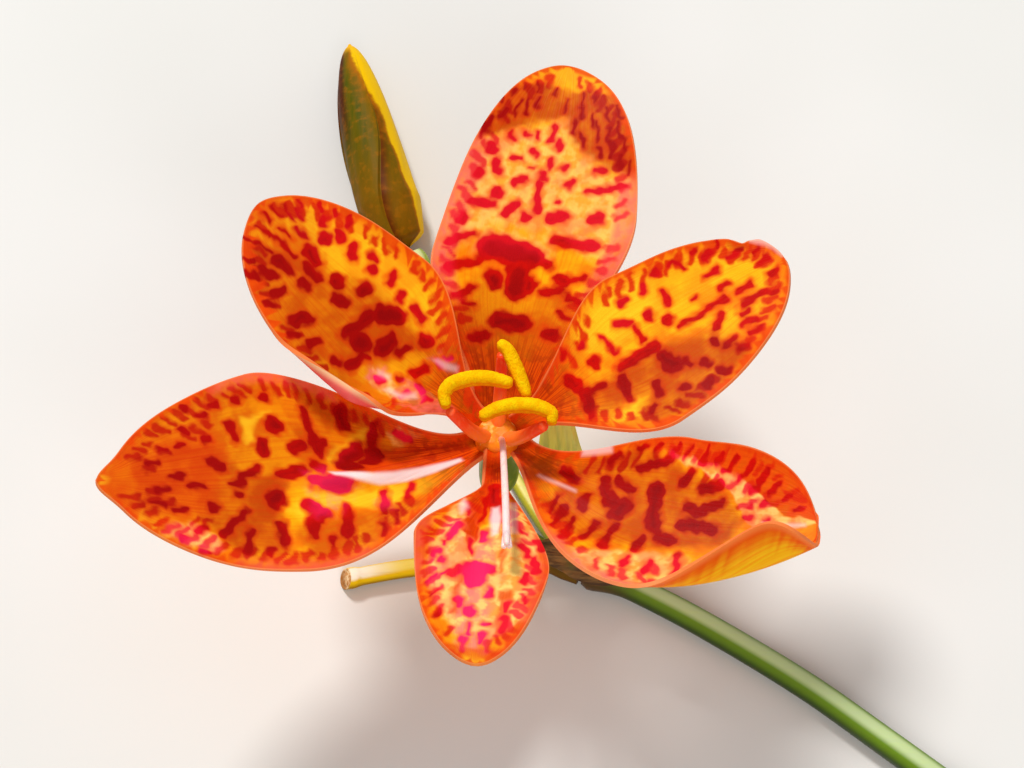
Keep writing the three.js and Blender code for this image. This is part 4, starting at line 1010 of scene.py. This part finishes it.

# the upper right tepal: yellow in its upper half as painted light, with a notch and a small pale lobe beside its tip
# painted shade lies over its right side and in the notch, and a painted highlight along the lobe's edge
grow_tepal(
    "inner_tepal_right",
    {
        "seat": INNER_SEAT, "azimuth": 25, "length": 21.65, "pitch": (34, 20, 20), "sway": 13, "claw": 0.85,
        "left": (6.1, 0, 0.486, 3.95), "right": (6.8, 0, 0.476, 2.9), "tip": 0.525, "cup": (0.45, 0.13, 0.27),
        "ruffle": (2.6, 0.175, 0.2), "ridges": [], "folds": [(1, 0.8, 1.1, 0.71, 0.5, 54, 0.6)],
        "lobes": [(1, 0.922, 0.018, -0.36), (1, 0.982, 0.023, 0.5)],
        "rim": 0.8, "second_row": 1,
        "areas": [
            ("painted_glint", 0.14, 0.4, [
                (2.5, 20.45), (2, 20.75), (1.4, 21.15), (0.9, 21.4), (0.2, 21.55), (0.2, 22.2), (2, 21.8),
                (3.2, 20.8)]),
            ("deep", 0.2, 0.7, [(3.6, 19.7), (2.7, 20.2), (2.2, 19.6), (3.2, 19)]),
            ("lit", 1, 0.75, [
                (4.6, 8), (5.2, 11), (4.4, 13.6), (1.8, 12.6), (2.2, 11), (1, 8.5), (2.5, 6), (3.6, 6.2)]),
            ("lit", 0.8, 0.35, [(5, 12.6), (5, 14), (4, 17.5), (2.5, 19.6), (1.4, 19.6), (1, 16), (1.4, 12.6)]),
            ("deep", 0.7, 0.85, [
                (-0.4, 5), (-0.5, 12), (-1.6, 15), (-4.4, 16.5), (-6, 13), (-6, 9), (-4.8, 7.6), (-3.2, 9), (-2.8, 6),
                (-2, 4)]),
            ("lit", 0.25, 0.8, [(-3.2, 8.4), (-4.4, 7.8), (-4.2, 6), (-3.4, 6.2)]),
            ("deep", 0.5, 0.5, [(1.5, 2), (-1.5, 2), (-2, 4.5), (2, 4.5)]),
        ],
    },
    [
        (0.1, 15, 4, 0.5, 0), (-0.2, 9.6, 3.3, 0.9, 0), (-1.7, 11.3, 2.2, 1.2, -72), (-2.6, 12.4, 1.1, 0.6, -60),
        (-3.4, 13.4, 0.9, 0.5, -60), (-4.6, 14.2, 1, 0.6, -40), (-4.9, 12.9, 1, 0.7, 0), (-3.1, 9.8, 1.4, 0.8, 80),
        (-2, 7.8, 2.4, 0.8, 88), (-1.6, 5, 2.8, 0.8, 85), (0.6, 4.6, 1.7, 0.9, -60), (-0.8, 6.2, 1.5, 0.5, 0),
        (2.5, 9.7, 1.5, 0.5, -25), (1.3, 10.4, 1.5, 0.5, -85), (1.7, 8.1, 2, 0.4, -70), (1, 6.6, 1, 0.8, 90),
        (2.6, 6.4, 0.9, 0.5, 30), (2.7, 4.9, 0.8, 0.4, 45), (3.9, 10.5, 0.9, 0.6, 0), (2.1, 11.6, 0.8, 0.6, 90),
        (3.9, 12.2, 0.9, 0.5, 40), (2.4, 13.3, 1.3, 0.6, 90), (1, 12.6, 0.9, 0.7, 0), (4.5, 13.5, 0.9, 0.5, 0),
        (4.4, 14.9, 0.9, 0.4, 20), (3.9, 15.4, 1, 0.4, -80), (1.3, 15, 0.7, 0.4, 0), (-1.1, 15.6, 1.7, 0.7, 35),
        (-2.3, 14.6, 0.8, 0.7, -60), (0.9, 17.3, 1.1, 0.6, 0), (2.2, 17, 1.3, 0.5, 0), (3.4, 17.4, 1.1, 0.5, 30),
        (4.2, 16.7, 0.9, 0.5, 0), (-0.1, 18.4, 1.4, 0.6, 0), (-1.1, 18.4, 2.2, 0.6, -5), (-1.7, 17.4, 1, 0.6, 0),
        (-2.5, 17.4, 1.5, 0.5, -15), (-3, 15.5, 1.2, 0.6, 0), (0.8, 20.5, 1, 0.5, 0), (-0.4, 20.5, 1, 0.7, 0),
        (1.7, 20.5, 0.8, 0.4, 0), (2.5, 19.1, 1.4, 0.5, 0), (3.7, 18.4, 0.8, 0.4, 30), (-3.3, 17.4, 1.2, 0.5, -20),
        (-3.9, 16.2, 1.2, 0.5, -25), (-1.6, 19.9, 1, 0.4, -10), (-4.4, 9, 1, 0.5, 40), (-4.2, 11.4, 0.9, 0.6, 0),
    ],
    seed=14,
)

# the bottom tepal: the smallest, with three lengthwise pleats and an orange tip
# much of it is pale as painted light, in part its own paler colour, and its pleats carry painted highlights
grow_tepal(
    "inner_tepal_bottom",
    {
        "seat": INNER_SEAT, "azimuth": -93.9, "length": 19.8, "pitch": (24, 20, 11), "sway": -3.2, "claw": 0.72,
        "left": (4.7, 0.095, 0.605, 3.35), "right": (5.2, 0.15, 0.46, 3.75), "tip": 0.48, "cup": (0.5, 0.1, 0.27),
        "ruffle": (1.2, 1, 0.55),
        "ridges": [(-1.9, 0.5, 0.7, 0.05, 0.8), (1.8, 0.5, 0.7, 0.05, 0.8), (0, 0.2, 0.5, 0.3, 0.8)],
        "folds": [],
        "rim": 0.6, "second_row": 1,
        "areas": [
            ("pale", 0.4, 1, [
                (3.4, 8.2), (3.8, 13), (2.9, 16.3), (1.6, 17.4), (-0.2, 18.4), (-1.5, 17.4), (-3.2, 15.2), (-4, 11),
                (-3.4, 8.6), (-2.4, 6), (-1.7, 5), (-1.2, 6.8), (-0.4, 8.6), (0.4, 6), (0.8, 5.8), (1.4, 5.2),
                (2.2, 6.2)]),
            ("red_and_shade", 0.12, 1, [
                (0.9, 0), (-0.8, 0), (-0.9, 3.4), (-1.6, 5.4), (-1.9, 8.4), (-1.1, 10.5), (-0.7, 8), (-0.5, 5.5),
                (-0.1, 4.4), (0.5, 4.6), (0.8, 8.4), (1, 5.4)]),
            ("rose", 0.5, 0.95, [
                (0.5, 8), (0.6, 13.8), (0.6, 19), (-1.4, 18.8), (-1.8, 16), (-1.7, 12.5), (-0.9, 10), (-0.5, 8)]),
            ("rose", 0.4, 0.8, [(-1.8, 9.4), (-2.6, 9.4), (-3, 7.6), (-1.9, 7.4)]),
            ("rose", 0.4, 0.6, [(-2.6, 11), (-2.6, 13.5), (-3.8, 13.5), (-3.8, 9.5), (-2.8, 9.5)]),
            ("red_and_shade", 0.3, 0.8, [(-3.9, 5), (-4.1, 9), (-4.2, 13.5), (-6, 13.5), (-6, 5)]),
            ("red_and_shade", 0.3, 0.7, [(3.7, 8.5), (3.4, 13), (2.8, 16), (2, 17.8), (4, 18), (6, 13), (6, 8.5)]),
            ("painted_glint", 0.2, 0.85, [(0.1, 5.5), (0, 6.6), (0.2, 8.4), (0.6, 8.1), (0.8, 6.6), (0.6, 5.5)]),
            ("painted_glint", 0.2, 0.6, [(-1.9, 5.2), (-2.2, 6), (-2, 7), (-1.6, 6)]),
            ("painted_glint", 0.2, 0.45, [(1.3, 5.4), (1.5, 8.5), (1.9, 8.5), (1.7, 5.4)]),
            ("lit", 0.3, 0.6, [(-1.5, 11), (-1.5, 16.5), (-2.5, 16.5), (-2.3, 11)]),
            ("red_and_shade", 0.25, 0.75, [(-1.5, 12), (-1.6, 16), (-2.1, 16), (-1.9, 12)]),
            ("red_and_shade", 0.2, 0.8, [(1.1, 13.6), (1.2, 17.8), (2.1, 17.2), (1.9, 13.6)]),
            ("red_and_shade", 0.2, 0.7, [(1, 6), (0.9, 12), (1.3, 12), (1.5, 6)]),
            ("red_and_shade", 0.3, 0.7, [(4, 19.2), (2, 18.6), (-2, 18.6), (-4, 18.2), (-4, 19.4), (0, 19.6)]),
            ("lit", 0.3, 0.8, [(4, 19.3), (0, 19.2), (-4, 19), (-4, 21), (4, 21)]),
            ("blush", 0.8, 0.3, [(-3, 7.5), (-3, 13), (-6, 13), (-6, 7.5)]),
            ("blush", 0.8, 0.4, [(2.2, 8), (2.2, 16.5), (3.4, 16.5), (4.2, 8)]),
        ],
    },
    [
        (-0.7, 12.3, 2.4, 1.7, -10), (0.2, 11.6, 1.2, 0.8, 60), (-2, 12.2, 1.2, 0.6, -40), (0.4, 13.8, 1.1, 0.7, 0),
        (-0.8, 15.5, 1, 0.8, 0), (-1.6, 14.8, 1, 0.7, 30), (0.5, 16.5, 0.8, 0.4, 90), (0.2, 17.8, 0.9, 0.5, 0),
        (-1, 18, 0.8, 0.4, 0), (-0.7, 17.1, 1, 0.3, 0), (1.6, 16.6, 1.6, 0.5, 0), (1.7, 15, 1.1, 0.5, 0),
        (-2.7, 12.3, 1, 0.4, -50), (-3, 11, 0.7, 0.4, 0), (-3.5, 10.5, 0.9, 0.5, -45), (-3, 9.5, 0.7, 0.4, 0),
        (-2.9, 16, 0.9, 0.4, -30), (-3.3, 14.2, 1.2, 0.3, -30), (-3.6, 12.9, 1.2, 0.3, -30), (2.7, 12.3, 1.1, 0.6, 0),
        (3.3, 11, 1.9, 0.6, 10), (2.5, 9.8, 1.3, 0.5, 40), (3.5, 9, 1.4, 0.6, 30), (3, 14.4, 0.8, 0.3, 0),
        (-0.3, 8.6, 1.3, 0.7, 0), (-1.2, 9.6, 1.3, 0.4, 0), (-2.3, 8.5, 1.7, 0.6, -30), (1.9, 8, 1.2, 0.4, 20),
        (0.4, 5.6, 2.6, 0.6, 0), (-0.5, 6, 2.4, 0.4, -8), (0.1, 4.3, 2.2, 1.1, 0), (-1.6, 6.4, 1, 0.3, -20),
    ],
    seed=15,
)

# the upper left tepal: small round spots in rows, its left margin rolled up and showing the pink back
# painted shade over its middle, painted light along its right side, painted highlights on the lump at its claw
grow_tepal(
    "inner_tepal_left",
    {
        "seat": INNER_SEAT, "azimuth": 140.5, "length": 21.25, "pitch": (34, 21.5, 12), "sway": -4.5, "claw": 0.85,
        "left": (7.35, 0, 0.38, 3.4), "right": (5.75, 0, 0.488, 3.4), "tip": 0.525, "cup": (0.45, 0.12, 0.16),
        "ruffle": (1.7, 0.05, 0.45), "ridges": [(2.2, 0.7, 0.7, 0.02, 0.38)],
        "folds": [(1, 0.145, 0.714, 0.76, 0.85, 172, 0.35)],
        "rim": 1.2, "second_row": 1,
        "areas": [
            ("deep", 0.8, 0.85, [
                (5.8, 8.6), (6.2, 14), (4.8, 18), (3, 20), (1.5, 19.3), (0.5, 17.2), (0.3, 14), (-1.5, 12), (-1.5, 9),
                (-1, 5.6), (2.4, 7), (2.8, 8.2), (4.2, 8.2)]),
            ("deep", 1.2, 0.5, [(6, 8), (6.4, 15), (4, 21), (-2, 21.4), (-2.2, 18), (-0.6, 15), (-1.6, 9), (1, 6)]),
            ("lit", 0.6, 0.35, [
                (-1.5, 6.2), (-1.7, 9), (-1.4, 12), (-0.4, 15), (-0.6, 19.5), (-2.5, 19.5), (-3.6, 17), (-4.4, 14),
                (-4.2, 10), (-3.2, 6.8)]),
            ("pale", 0.15, 1, [
                (4, 7.4), (3, 7.7), (2.6, 6.8), (2.7, 5.6), (2, 5.2), (1.4, 3.8), (1.2, 2.2), (1.8, 2.2),
                (2.4, 3.4), (3.1, 4.4), (3.8, 5.6)]),
            ("blush", 0.2, 1, [
                (4.2, 7.6), (3, 7.9), (2.4, 6.9), (2.5, 5.6), (1.4, 4.4), (0.9, 1.5), (2.4, 1.5), (4.2, 5.6)]),
            ("rose", 0.25, 0.9, [(4.1, 7.6), (3, 8), (2.4, 7.2), (3.2, 6.6)]),
            ("rose", 0.25, 0.8, [(2.9, 5.4), (1.9, 5.6), (1.4, 4), (2.4, 3.8)]),
            ("rose", 0.25, 0.8, [(-0.4, 5.4), (-1.6, 4.8), (-1.9, 3.2), (-0.8, 3.6)]),
            ("painted_glint", 0.2, 0.5, [(3.7, 6.2), (3.2, 6), (3, 5.2), (2.3, 4.5), (2.5, 4.2), (3.3, 4.9)]),
            ("painted_glint", 0.2, 0.4, [(2.8, 7.4), (2.5, 6.5), (2.8, 6.3), (3.1, 7.2)]),
            ("painted_glint", 0.2, 0.5, [(-0.7, 5), (-1, 4.8), (-1.3, 4.1), (-1.6, 3.4), (-1.3, 3.2), (-0.8, 4)]),
        ],
    },
    [
        (2.2, 9.5, 1.6, 1.4, 0), (1.9, 10.6, 2, 0.9, 80), (-0.8, 9.3, 2.4, 1.4, 40), (0.6, 10.4, 1.6, 0.9, 90),
        (0.9, 8.1, 2, 1.2, 85), (3.8, 8.9, 1.8, 0.8, 80), (4.6, 9.9, 1, 0.7, 0), (4.7, 11.8, 1.2, 0.7, 60),
        (1, 12.4, 1.6, 0.8, 10), (-0.7, 11.9, 1.2, 1, 90), (0.1, 13.6, 1.2, 1.1, 0), (4.2, 13.6, 1.6, 1, 70),
        (3.5, 13.2, 0.9, 0.6, 0), (0.9, 15.2, 1.8, 0.7, 0), (2, 15.1, 1.2, 0.8, 0), (0, 16, 1.8, 1, -10),
        (2, 17, 1.8, 0.8, 5), (3.2, 17.4, 1.4, 0.7, 15), (0.9, 17.6, 1.6, 0.4, 0), (3.7, 15.9, 1.4, 0.7, 70),
        (-1.5, 16.3, 0.9, 0.9, -60), (-2.5, 15.8, 1, 0.8, -40), (-2.3, 14.3, 1.4, 0.7, -60), (-3, 13, 0.9, 0.6, 0),
        (-2.3, 12.4, 0.9, 0.6, 0), (-2.8, 11, 1.2, 0.6, -70), (-2.4, 9.7, 1, 0.6, -70), (-2.3, 8, 1.6, 0.8, -10),
        (-2.4, 17.2, 1, 0.6, -45), (-3.4, 17.2, 0.9, 0.5, -45), (-3, 18.1, 1, 0.5, -40), (-3.7, 16, 1, 0.5, -50),
        (-1.3, 6.4, 1.3, 1, 0), (0.6, 5.2, 1.6, 0.8, 70), (3.3, 6.9, 0.9, 0.8, 0), (1.8, 4.4, 1, 0.9, 0),
        (2, 18.9, 1.5, 0.3, 8), (0.2, 20.2, 0.9, 0.4, 0), (1.2, 19.8, 1.5, 0.3, 8), (2.3, 19.8, 1.3, 0.3, 12),
        (-0.6, 20.1, 1.1, 0.3, -10), (-1.1, 19.4, 1.4, 0.3, -15), (-0.7, 17.8, 1.3, 0.4, -5),
        (-1.6, 18.8, 1.1, 0.3, -20),
        (-2.2, 19.3, 0.9, 0.3, -30), (0.9, 18.9, 1.4, 0.3, 0), (0.1, 18.6, 1.3, 0.3, 0), (4.2, 18.1, 1.3, 0.6, 20),
        (3.5, 19, 1.1, 0.5, 20), (4.9, 15.8, 1, 0.6, 10), (5.4, 13.2, 1, 0.5, 30), (2.8, 8.6, 1, 0.5, 20),
        (0.4, 7, 1.4, 0.7, 70), (-0.8, 4.5, 0.8, 0.5, 0), (-1.6, 4.3, 0.7, 0.4, 40), (3.4, 7, 0.9, 0.6, 0),
        (2.9, 5, 0.8, 0.4, 60), (2.1, 3.6, 0.9, 0.4, 30), (1.4, 5.4, 0.8, 0.5, 20), (2.2, 5.9, 0.7, 0.4, 0),
    ],
    seed=16,
)


# ---- The stamens
# Three stamens, one over each outer tepal: a thin coral red filament that carries a fat curved anther of two
# sacs, split open and covered in grainy golden pollen.
FILAMENT_FOOT = 0.75
SAC_RADIUS = 0.49
SAC_SHIFT = 0.16  # of each pollen sac from the anther's middle
VIEW_TILT = math.radians(62)  # the anthers lie in the plane that the bloom turns to a viewer in front of it
# for each: its name, azimuth, how far out and how high it ends, its anther's line in that plane, and how far the
# anther lies in front of the filament's end
STAMENS = [
    ("back", 84, 3.5, 6.0, [(0.0, 0.7), (0.45, 0.25), (0.85, -0.6), (1.3, -1.7), (1.65, -2.6)], 1.4),
    ("left", 196, 3.3, 5.9, [(-0.35, 0.6), (-0.45, 1.25), (0.0, 1.9), (1.2, 2.3), (2.6, 2.35), (3.95, 2.05)], 0.1),
    ("right", -27, 3.6, 5.2, [(0.6, 0.45), (0.5, 0.95), (-0.6, 1.4), (-2.0, 1.45), (-3.2, 1.2), (-4.1, 0.75)], 0.3),
]

coral = new_finish("coral_filament", 0.35, under=0.1, under_depth=0.3, shine=0.2)
height = slant(coral, 0, 0, 1, -BLOOM_CENTRE[2])
sleek = speckle(place_coords(coral, scale=(4000, 4000, 900)), 1.0)
coral_skin = tint(between(height, 1.5, 4.5), (255, 132, 44), (252, 76, 26))
coral_skin = tint(between(sleek, 0.45, 0.7, 0.0, 0.5), coral_skin, (255, 124, 72))
coat(coral, coral_skin, sleek, 0.03)

pollen = new_finish("golden_pollen", 0.85, under=0.05, under_depth=0.2, shine=0.03)
grains = add_node(pollen.node_tree, "TexVoronoi")
grains.inputs["Scale"].default_value = 9000
feed(grains.inputs["Vector"], place_coords(pollen))
dust = speckle(place_coords(pollen), 1500, 4)
pollen_skin = layer(
    (255, 188, 0),
    (between(dust, 0.35, 0.65), (255, 210, 6)),
    (between(grains.outputs["Distance"], 0.4, 0.8, 0.0, 0.28), (238, 134, 0)),
    # painted shade: more orange where the sacs face away from above
    (between(facing(pollen, 0, 0.3, 0.95), -0.4, 0.4, 0.8, 0.0), (226, 116, 0)),
)
coat(pollen, pollen_skin, reckon("MULTIPLY", grains.outputs["Distance"], -1.0), 0.05)

grain_pattern = bpy.data.textures.new("pollen lumps", "CLOUDS")
grain_pattern.noise_scale = 0.00022
grain_pattern.noise_depth = 2


def join(pieces, name):
    """Makes one piece of several."""
    bpy.ops.object.select_all(action="DESELECT")
    for piece in pieces:
        piece.select_set(True)
    bpy.context.view_layer.objects.active = pieces[0]
    bpy.ops.object.join()
    pieces[0].name = name
    return pieces[0]


for name, azimuth, reach, rise, anther_points, forward in STAMENS:
    outwards = np.array([math.cos(math.radians(azimuth)), math.sin(math.radians(azimuth)), 0.0])
    places = [(FILAMENT_FOOT, 0.3), (FILAMENT_FOOT + 0.15, 0.9),
              (FILAMENT_FOOT + (reach - FILAMENT_FOOT) * 0.4, 0.55 + rise * 0.3), (reach, rise)]
    line = [BLOOM_CENTRE + outwards * out + (0, 0, up) for out, up in places]
    filament = grow_stalk("coral_filament_" + name, line, taper(0.55, 0.38), 50, 24, dome_end=0.6)
    filament.data.materials.append(coral)
    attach(filament, "root")
    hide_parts("filament_" + name)

    up_way = np.array([0, math.sin(VIEW_TILT), math.cos(VIEW_TILT)])
    towards = np.array([0, -math.cos(VIEW_TILT), math.sin(VIEW_TILT)])
    line = [line[-1] + (right, 0, 0) + up_way * above + towards * forward for right, above in anther_points]
    sacs = []
    for shift in (-SAC_SHIFT, SAC_SHIFT):
        sac = grow_stalk(
            "pollen_sac",
            [place + towards * shift + up_way * shift * 0.4 for place in line],
            lambda t: SAC_RADIUS * (0.76 + 0.24 * np.sin(np.pi * t) ** 0.6),
            90, 40, dome_start=0.9, dome_end=0.9,
        )
        sacs.append(sac)
    anther = join(sacs, "golden_anther_" + name)
    lumps = anther.modifiers.new("lumps", "DISPLACE")
    lumps.texture = grain_pattern
    lumps.texture_coords = "LOCAL"
    lumps.strength = 0.09 * MM
    lumps.mid_level = 0.45
    bpy.ops.object.modifier_apply(modifier=lumps.name)
    anther.data.materials.append(pollen)
    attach(anther, "root")
    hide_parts("anther_" + name)


# ---- The style
# One pale pink style that leans out over the bottom tepal, and widens a little to three short blunt lobes.
STYLE_LINE = [
    (0.25, -0.5, 0.7), (0.3, -0.75, 1.6), (0.4, -1.7, 2.8), (0.5, -4.6, 4.8), (0.62, -8.4, 6.6), (0.68, -11.3, 7.4),
]
STYLE_RADIUS = 0.2

line = [BLOOM_CENTRE + place for place in STYLE_LINE]
pieces = [grow_stalk("pink_style", line, taper(STYLE_RADIUS, STYLE_RADIUS * 1.4), 70, 24)]
places, heading = line_through(line, 100)
tip, ahead = places[-1], heading[-1]
side = np.cross(ahead, (0, 0, 1))
side /= np.linalg.norm(side)
above = np.cross(side, ahead)


def lobe_radius(t):
    return STYLE_RADIUS + 0.03 * np.sin(np.pi * t)


for third in range(3):
    angle = third * 2 * math.pi / 3 + math.pi / 2
    out = side * math.cos(angle) + above * math.sin(angle)
    lobe_line = [tip - ahead * 0.5 + out * 0.06, tip + ahead * 0.2 + out * 0.14, tip + ahead * 0.65 + out * 0.22]
    pieces.append(grow_stalk("style_lobe", lobe_line, lobe_radius, 16, 20, dome_start=0.8, dome_end=0.7))
style = join(pieces, "pink_style")
pink = new_finish("pale_pink", 0.32, under=0.2, under_depth=0.4, shine=0.3)
along = slant(pink, 0, -1, 0, BLOOM_CENTRE[1])
fine = speckle(place_coords(pink, scale=(3800, 700, 3800)), 1.0)
pink_skin = tint(between(along, 0.0, 3.5), (252, 160, 96), (255, 226, 218))
pink_skin = tint(between(fine, 0.45, 0.7, 0.0, 0.5), pink_skin, (246, 190, 184))
coat(pink, pink_skin, fine, 0.03)
style.data.materials.append(pink)
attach(style, "root")
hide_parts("style")


# ---- The bud
# A closed bud that lies on the surface: three olive tepals rolled tightly round each other, with yellow orange
# margins that wind slowly up to its tip, on a small green ovary at the end of its stalk.
BUD_LINE = [
    (-13.65, 26.6, 1.8), (-14.65, 28.6, 2.25), (-15.6, 31.3, 2.35), (-16.5, 34.9, 2.35), (-17.5, 39.5, 2.35),
    (-18.35, 44.2, 2.2),
]
BUD_RADIUS = 2.5
BUD_OVARY_LINE = [(-12.62, 24.55, 0.98), (-12.92, 25.35, 1.3), (-13.44, 26.33, 1.65)]

bud_ovary = grow_stalk(
    "bud_ovary_skin", BUD_OVARY_LINE, lambda t: 0.62 + 0.36 * np.sin(np.pi * (0.1 + 0.75 * t)), 24, 28
)
bud_ovary.data.materials.append(
    waxy_green("bud_ovary_green", (226, 236, 170), (150, 168, 50), (96, 116, 20), 108)
)
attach(bud_ovary, "root")
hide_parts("bud_ovary")

bud, round_share, t = add_sheet("rolled_bud", 192, 120)
BUD_DOME = 0.06  # share of the grid's rows that close the tip
body_t = np.clip(t / (1 - BUD_DOME), 0, 1)
dome = np.clip((t - 1 + BUD_DOME) / BUD_DOME, 0, 1)
foot_disc = smooth(t * 30)
places, heading = line_through(BUD_LINE, 200)
grid = np.linspace(0, 1, 200)
middle, ahead = read_between(body_t, grid, places), read_between(body_t, grid, heading)
side = np.cross(ahead, (0, 0, 1))
side /= np.linalg.norm(side, axis=1)[:, None]
above = np.cross(side, ahead)
angle = (round_share + 1) * np.pi + 1.42 - 0.2 * np.sin(np.pi * body_t)  # the grid winds with the margins
angle = angle + 0.75 * (1 - smooth(body_t / 0.6))
shoulder = np.minimum(1, 0.36 + 1.5 * np.sqrt(body_t * 0.9))
radius = BUD_RADIUS * shoulder * np.maximum(1 - body_t ** 3.1, 0.01) ** 0.62
turn = 1.5 * (round_share + 1) + 1e-6
step = turn - np.floor(turn)
inner_lip = smooth(step / 0.035)  # the step from one tepal's margin up to the next tepal
depth = -0.1 * (1 - inner_lip + step * inner_lip)
ribs = 0.008 * np.sin(step * np.pi * 7) * np.sin(np.pi * step)
radius = radius * (1 + depth * smooth(body_t * 6) * smooth((1 - body_t) * 6) + ribs)
radius = radius * np.cos(dome * np.pi / 2) * foot_disc
tip_rise = np.sin(dome * np.pi / 2) * BUD_RADIUS * 0.01 ** 0.62
lay(
    bud,
    middle + ahead * tip_rise[:, None] + side * (radius * np.cos(angle))[:, None]
    + above * (radius * np.sin(angle))[:, None],
)
add_field(bud, "lip", np.minimum(step, 1.0))
round_bud = (np.degrees(angle) + 120) % 360 - 120  # 0 is the side that faces the bloom, and 90 the top
gold_edge = 42 + 10 * smooth(t / 0.5) + 44 * smooth((t - 0.5) / 0.4) + 2 * np.sin(t * 31)
gold_softness = 18 + 26 * smooth((t - 0.4) / 0.3)
gold_share = smooth((gold_edge - round_bud) / gold_softness + 0.5) * smooth((round_bud + 60) / 30)
add_field(bud, "gold", gold_share)
add_field(bud, "warm", smooth((gold_edge + 24 - round_bud) / 56 + 0.5) * smooth((t - 0.3) / 0.35))
add_field(bud, "dark", smooth((round_bud - 122) / 22) * smooth((t - 0.36) / 0.3) * smooth((0.95 - t) / 0.04))
add_field(bud, "up", t)
weld(bud, 2e-6)
bpy.ops.object.shade_smooth_by_angle(angle=math.radians(40))
rest_on_surface(bud)
olive = new_finish("olive_bud", 0.5, under=0.03, shine=0.05)
lip, up_bud, gold = read_field(olive, "lip"), read_field(olive, "up"), read_field(olive, "gold")
long_streaks = speckle(place_coords(olive, scale=(2600, 300, 2600), turn=(0, 0, 16)), 1.0)
flecks = speckle(place_coords(olive), 1800, 3)
warmth = reckon("MULTIPLY", read_field(olive, "warm"), between(flecks, 0.3, 0.6, 0.45, 0.85))
ragged = reckon("ADD", gold, reckon("MULTIPLY", flecks, 0.6))
bud_skin = layer(
    (76, 80, 0),
    (between(long_streaks, 0.35, 0.65), (98, 86, 0)),
    (between(up_bud, 0.55, 0.1, 0.0, 0.85), (134, 88, 2)),
    (between(flecks, 0.52, 0.68, 0.0, 0.35), (150, 100, 6)),
    (between(lip, 0.3, 0.0, 0.0, 0.5), (124, 96, 10)),
    (between(lip, 0.78, 1.0, 0.0, 0.95), (96, 36, 0)),
    (warmth, (158, 98, 0)),
    (read_field(olive, "dark"), (78, 32, 0)),
    (between(ragged, 0.25, 0.7, 0.0, 0.8), (176, 100, 2)),
    (between(ragged, 0.6, 1.1), (240, 190, 0)),
    (between(up_bud, 0.87, 0.94), (246, 180, 8)),
)
coat(olive, bud_skin, long_streaks, 0.05)
bud.data.materials.append(olive)
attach(bud, "root")
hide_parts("bud")


# ---- Floor, light and camera
# A plain pale floor under soft studio light, mostly from above and behind the bloom as in daylight, seen from
# in front and well above.
bpy.ops.object.select_all(action="DESELECT")
bpy.ops.mesh.primitive_plane_add(size=4, location=(0, 0, -0.00002))
floor = bpy.context.object
floor.name = "pale_floor"
pale_floor = new_finish("pale_floor", 0.9, shine=0.2)
mild = speckle(place_coords(pale_floor), 30, 2)
coat(pale_floor, tint(between(mild, 0.3, 0.7), (226, 224, 218), (230, 228, 223)))
floor.data.materials.append(pale_floor)


def add_softbox(name, place, aim, size, power):
    light = bpy.data.lights.new(name, "AREA")
    light.shape = "DISK"
    light.size = size
    light.energy = power
    softbox = bpy.data.objects.new(name, light)
    bpy.context.collection.objects.link(softbox)
    softbox.location = place
    softbox.rotation_euler = (Vector(aim) - Vector(place)).to_track_quat("-Z", "Y").to_euler()


LIT_PLACE = (-0.007, 0.003, 0.018)
add_softbox("key_light", (-0.22, 0.42, 0.62), LIT_PLACE, size=0.16, power=4.4)
add_softbox("fill_light", (0.1, -0.6, 0.5), LIT_PLACE, size=0.5, power=2.0)
world = bpy.data.worlds.new("soft sky")
world.use_nodes = True
world.node_tree.nodes["Background"].inputs["Color"].default_value = (0.95, 0.97, 1.0, 1)
world.node_tree.nodes["Background"].inputs["Strength"].default_value = 0.42
bpy.context.scene.world = world
bpy.context.scene.view_settings.view_transform = "Standard"

lens = bpy.data.cameras.new("viewpoint")
lens.sensor_width = 36
lens.lens = 175.78
lens.clip_start = 0.01
lens.clip_end = 10
camera = bpy.data.objects.new("viewpoint", lens)
bpy.context.collection.objects.link(camera)
camera.location = (-0.00595, -0.157954, 0.327373)
camera.rotation_euler = (math.radians(28), 0, 0)
bpy.context.scene.camera = camera
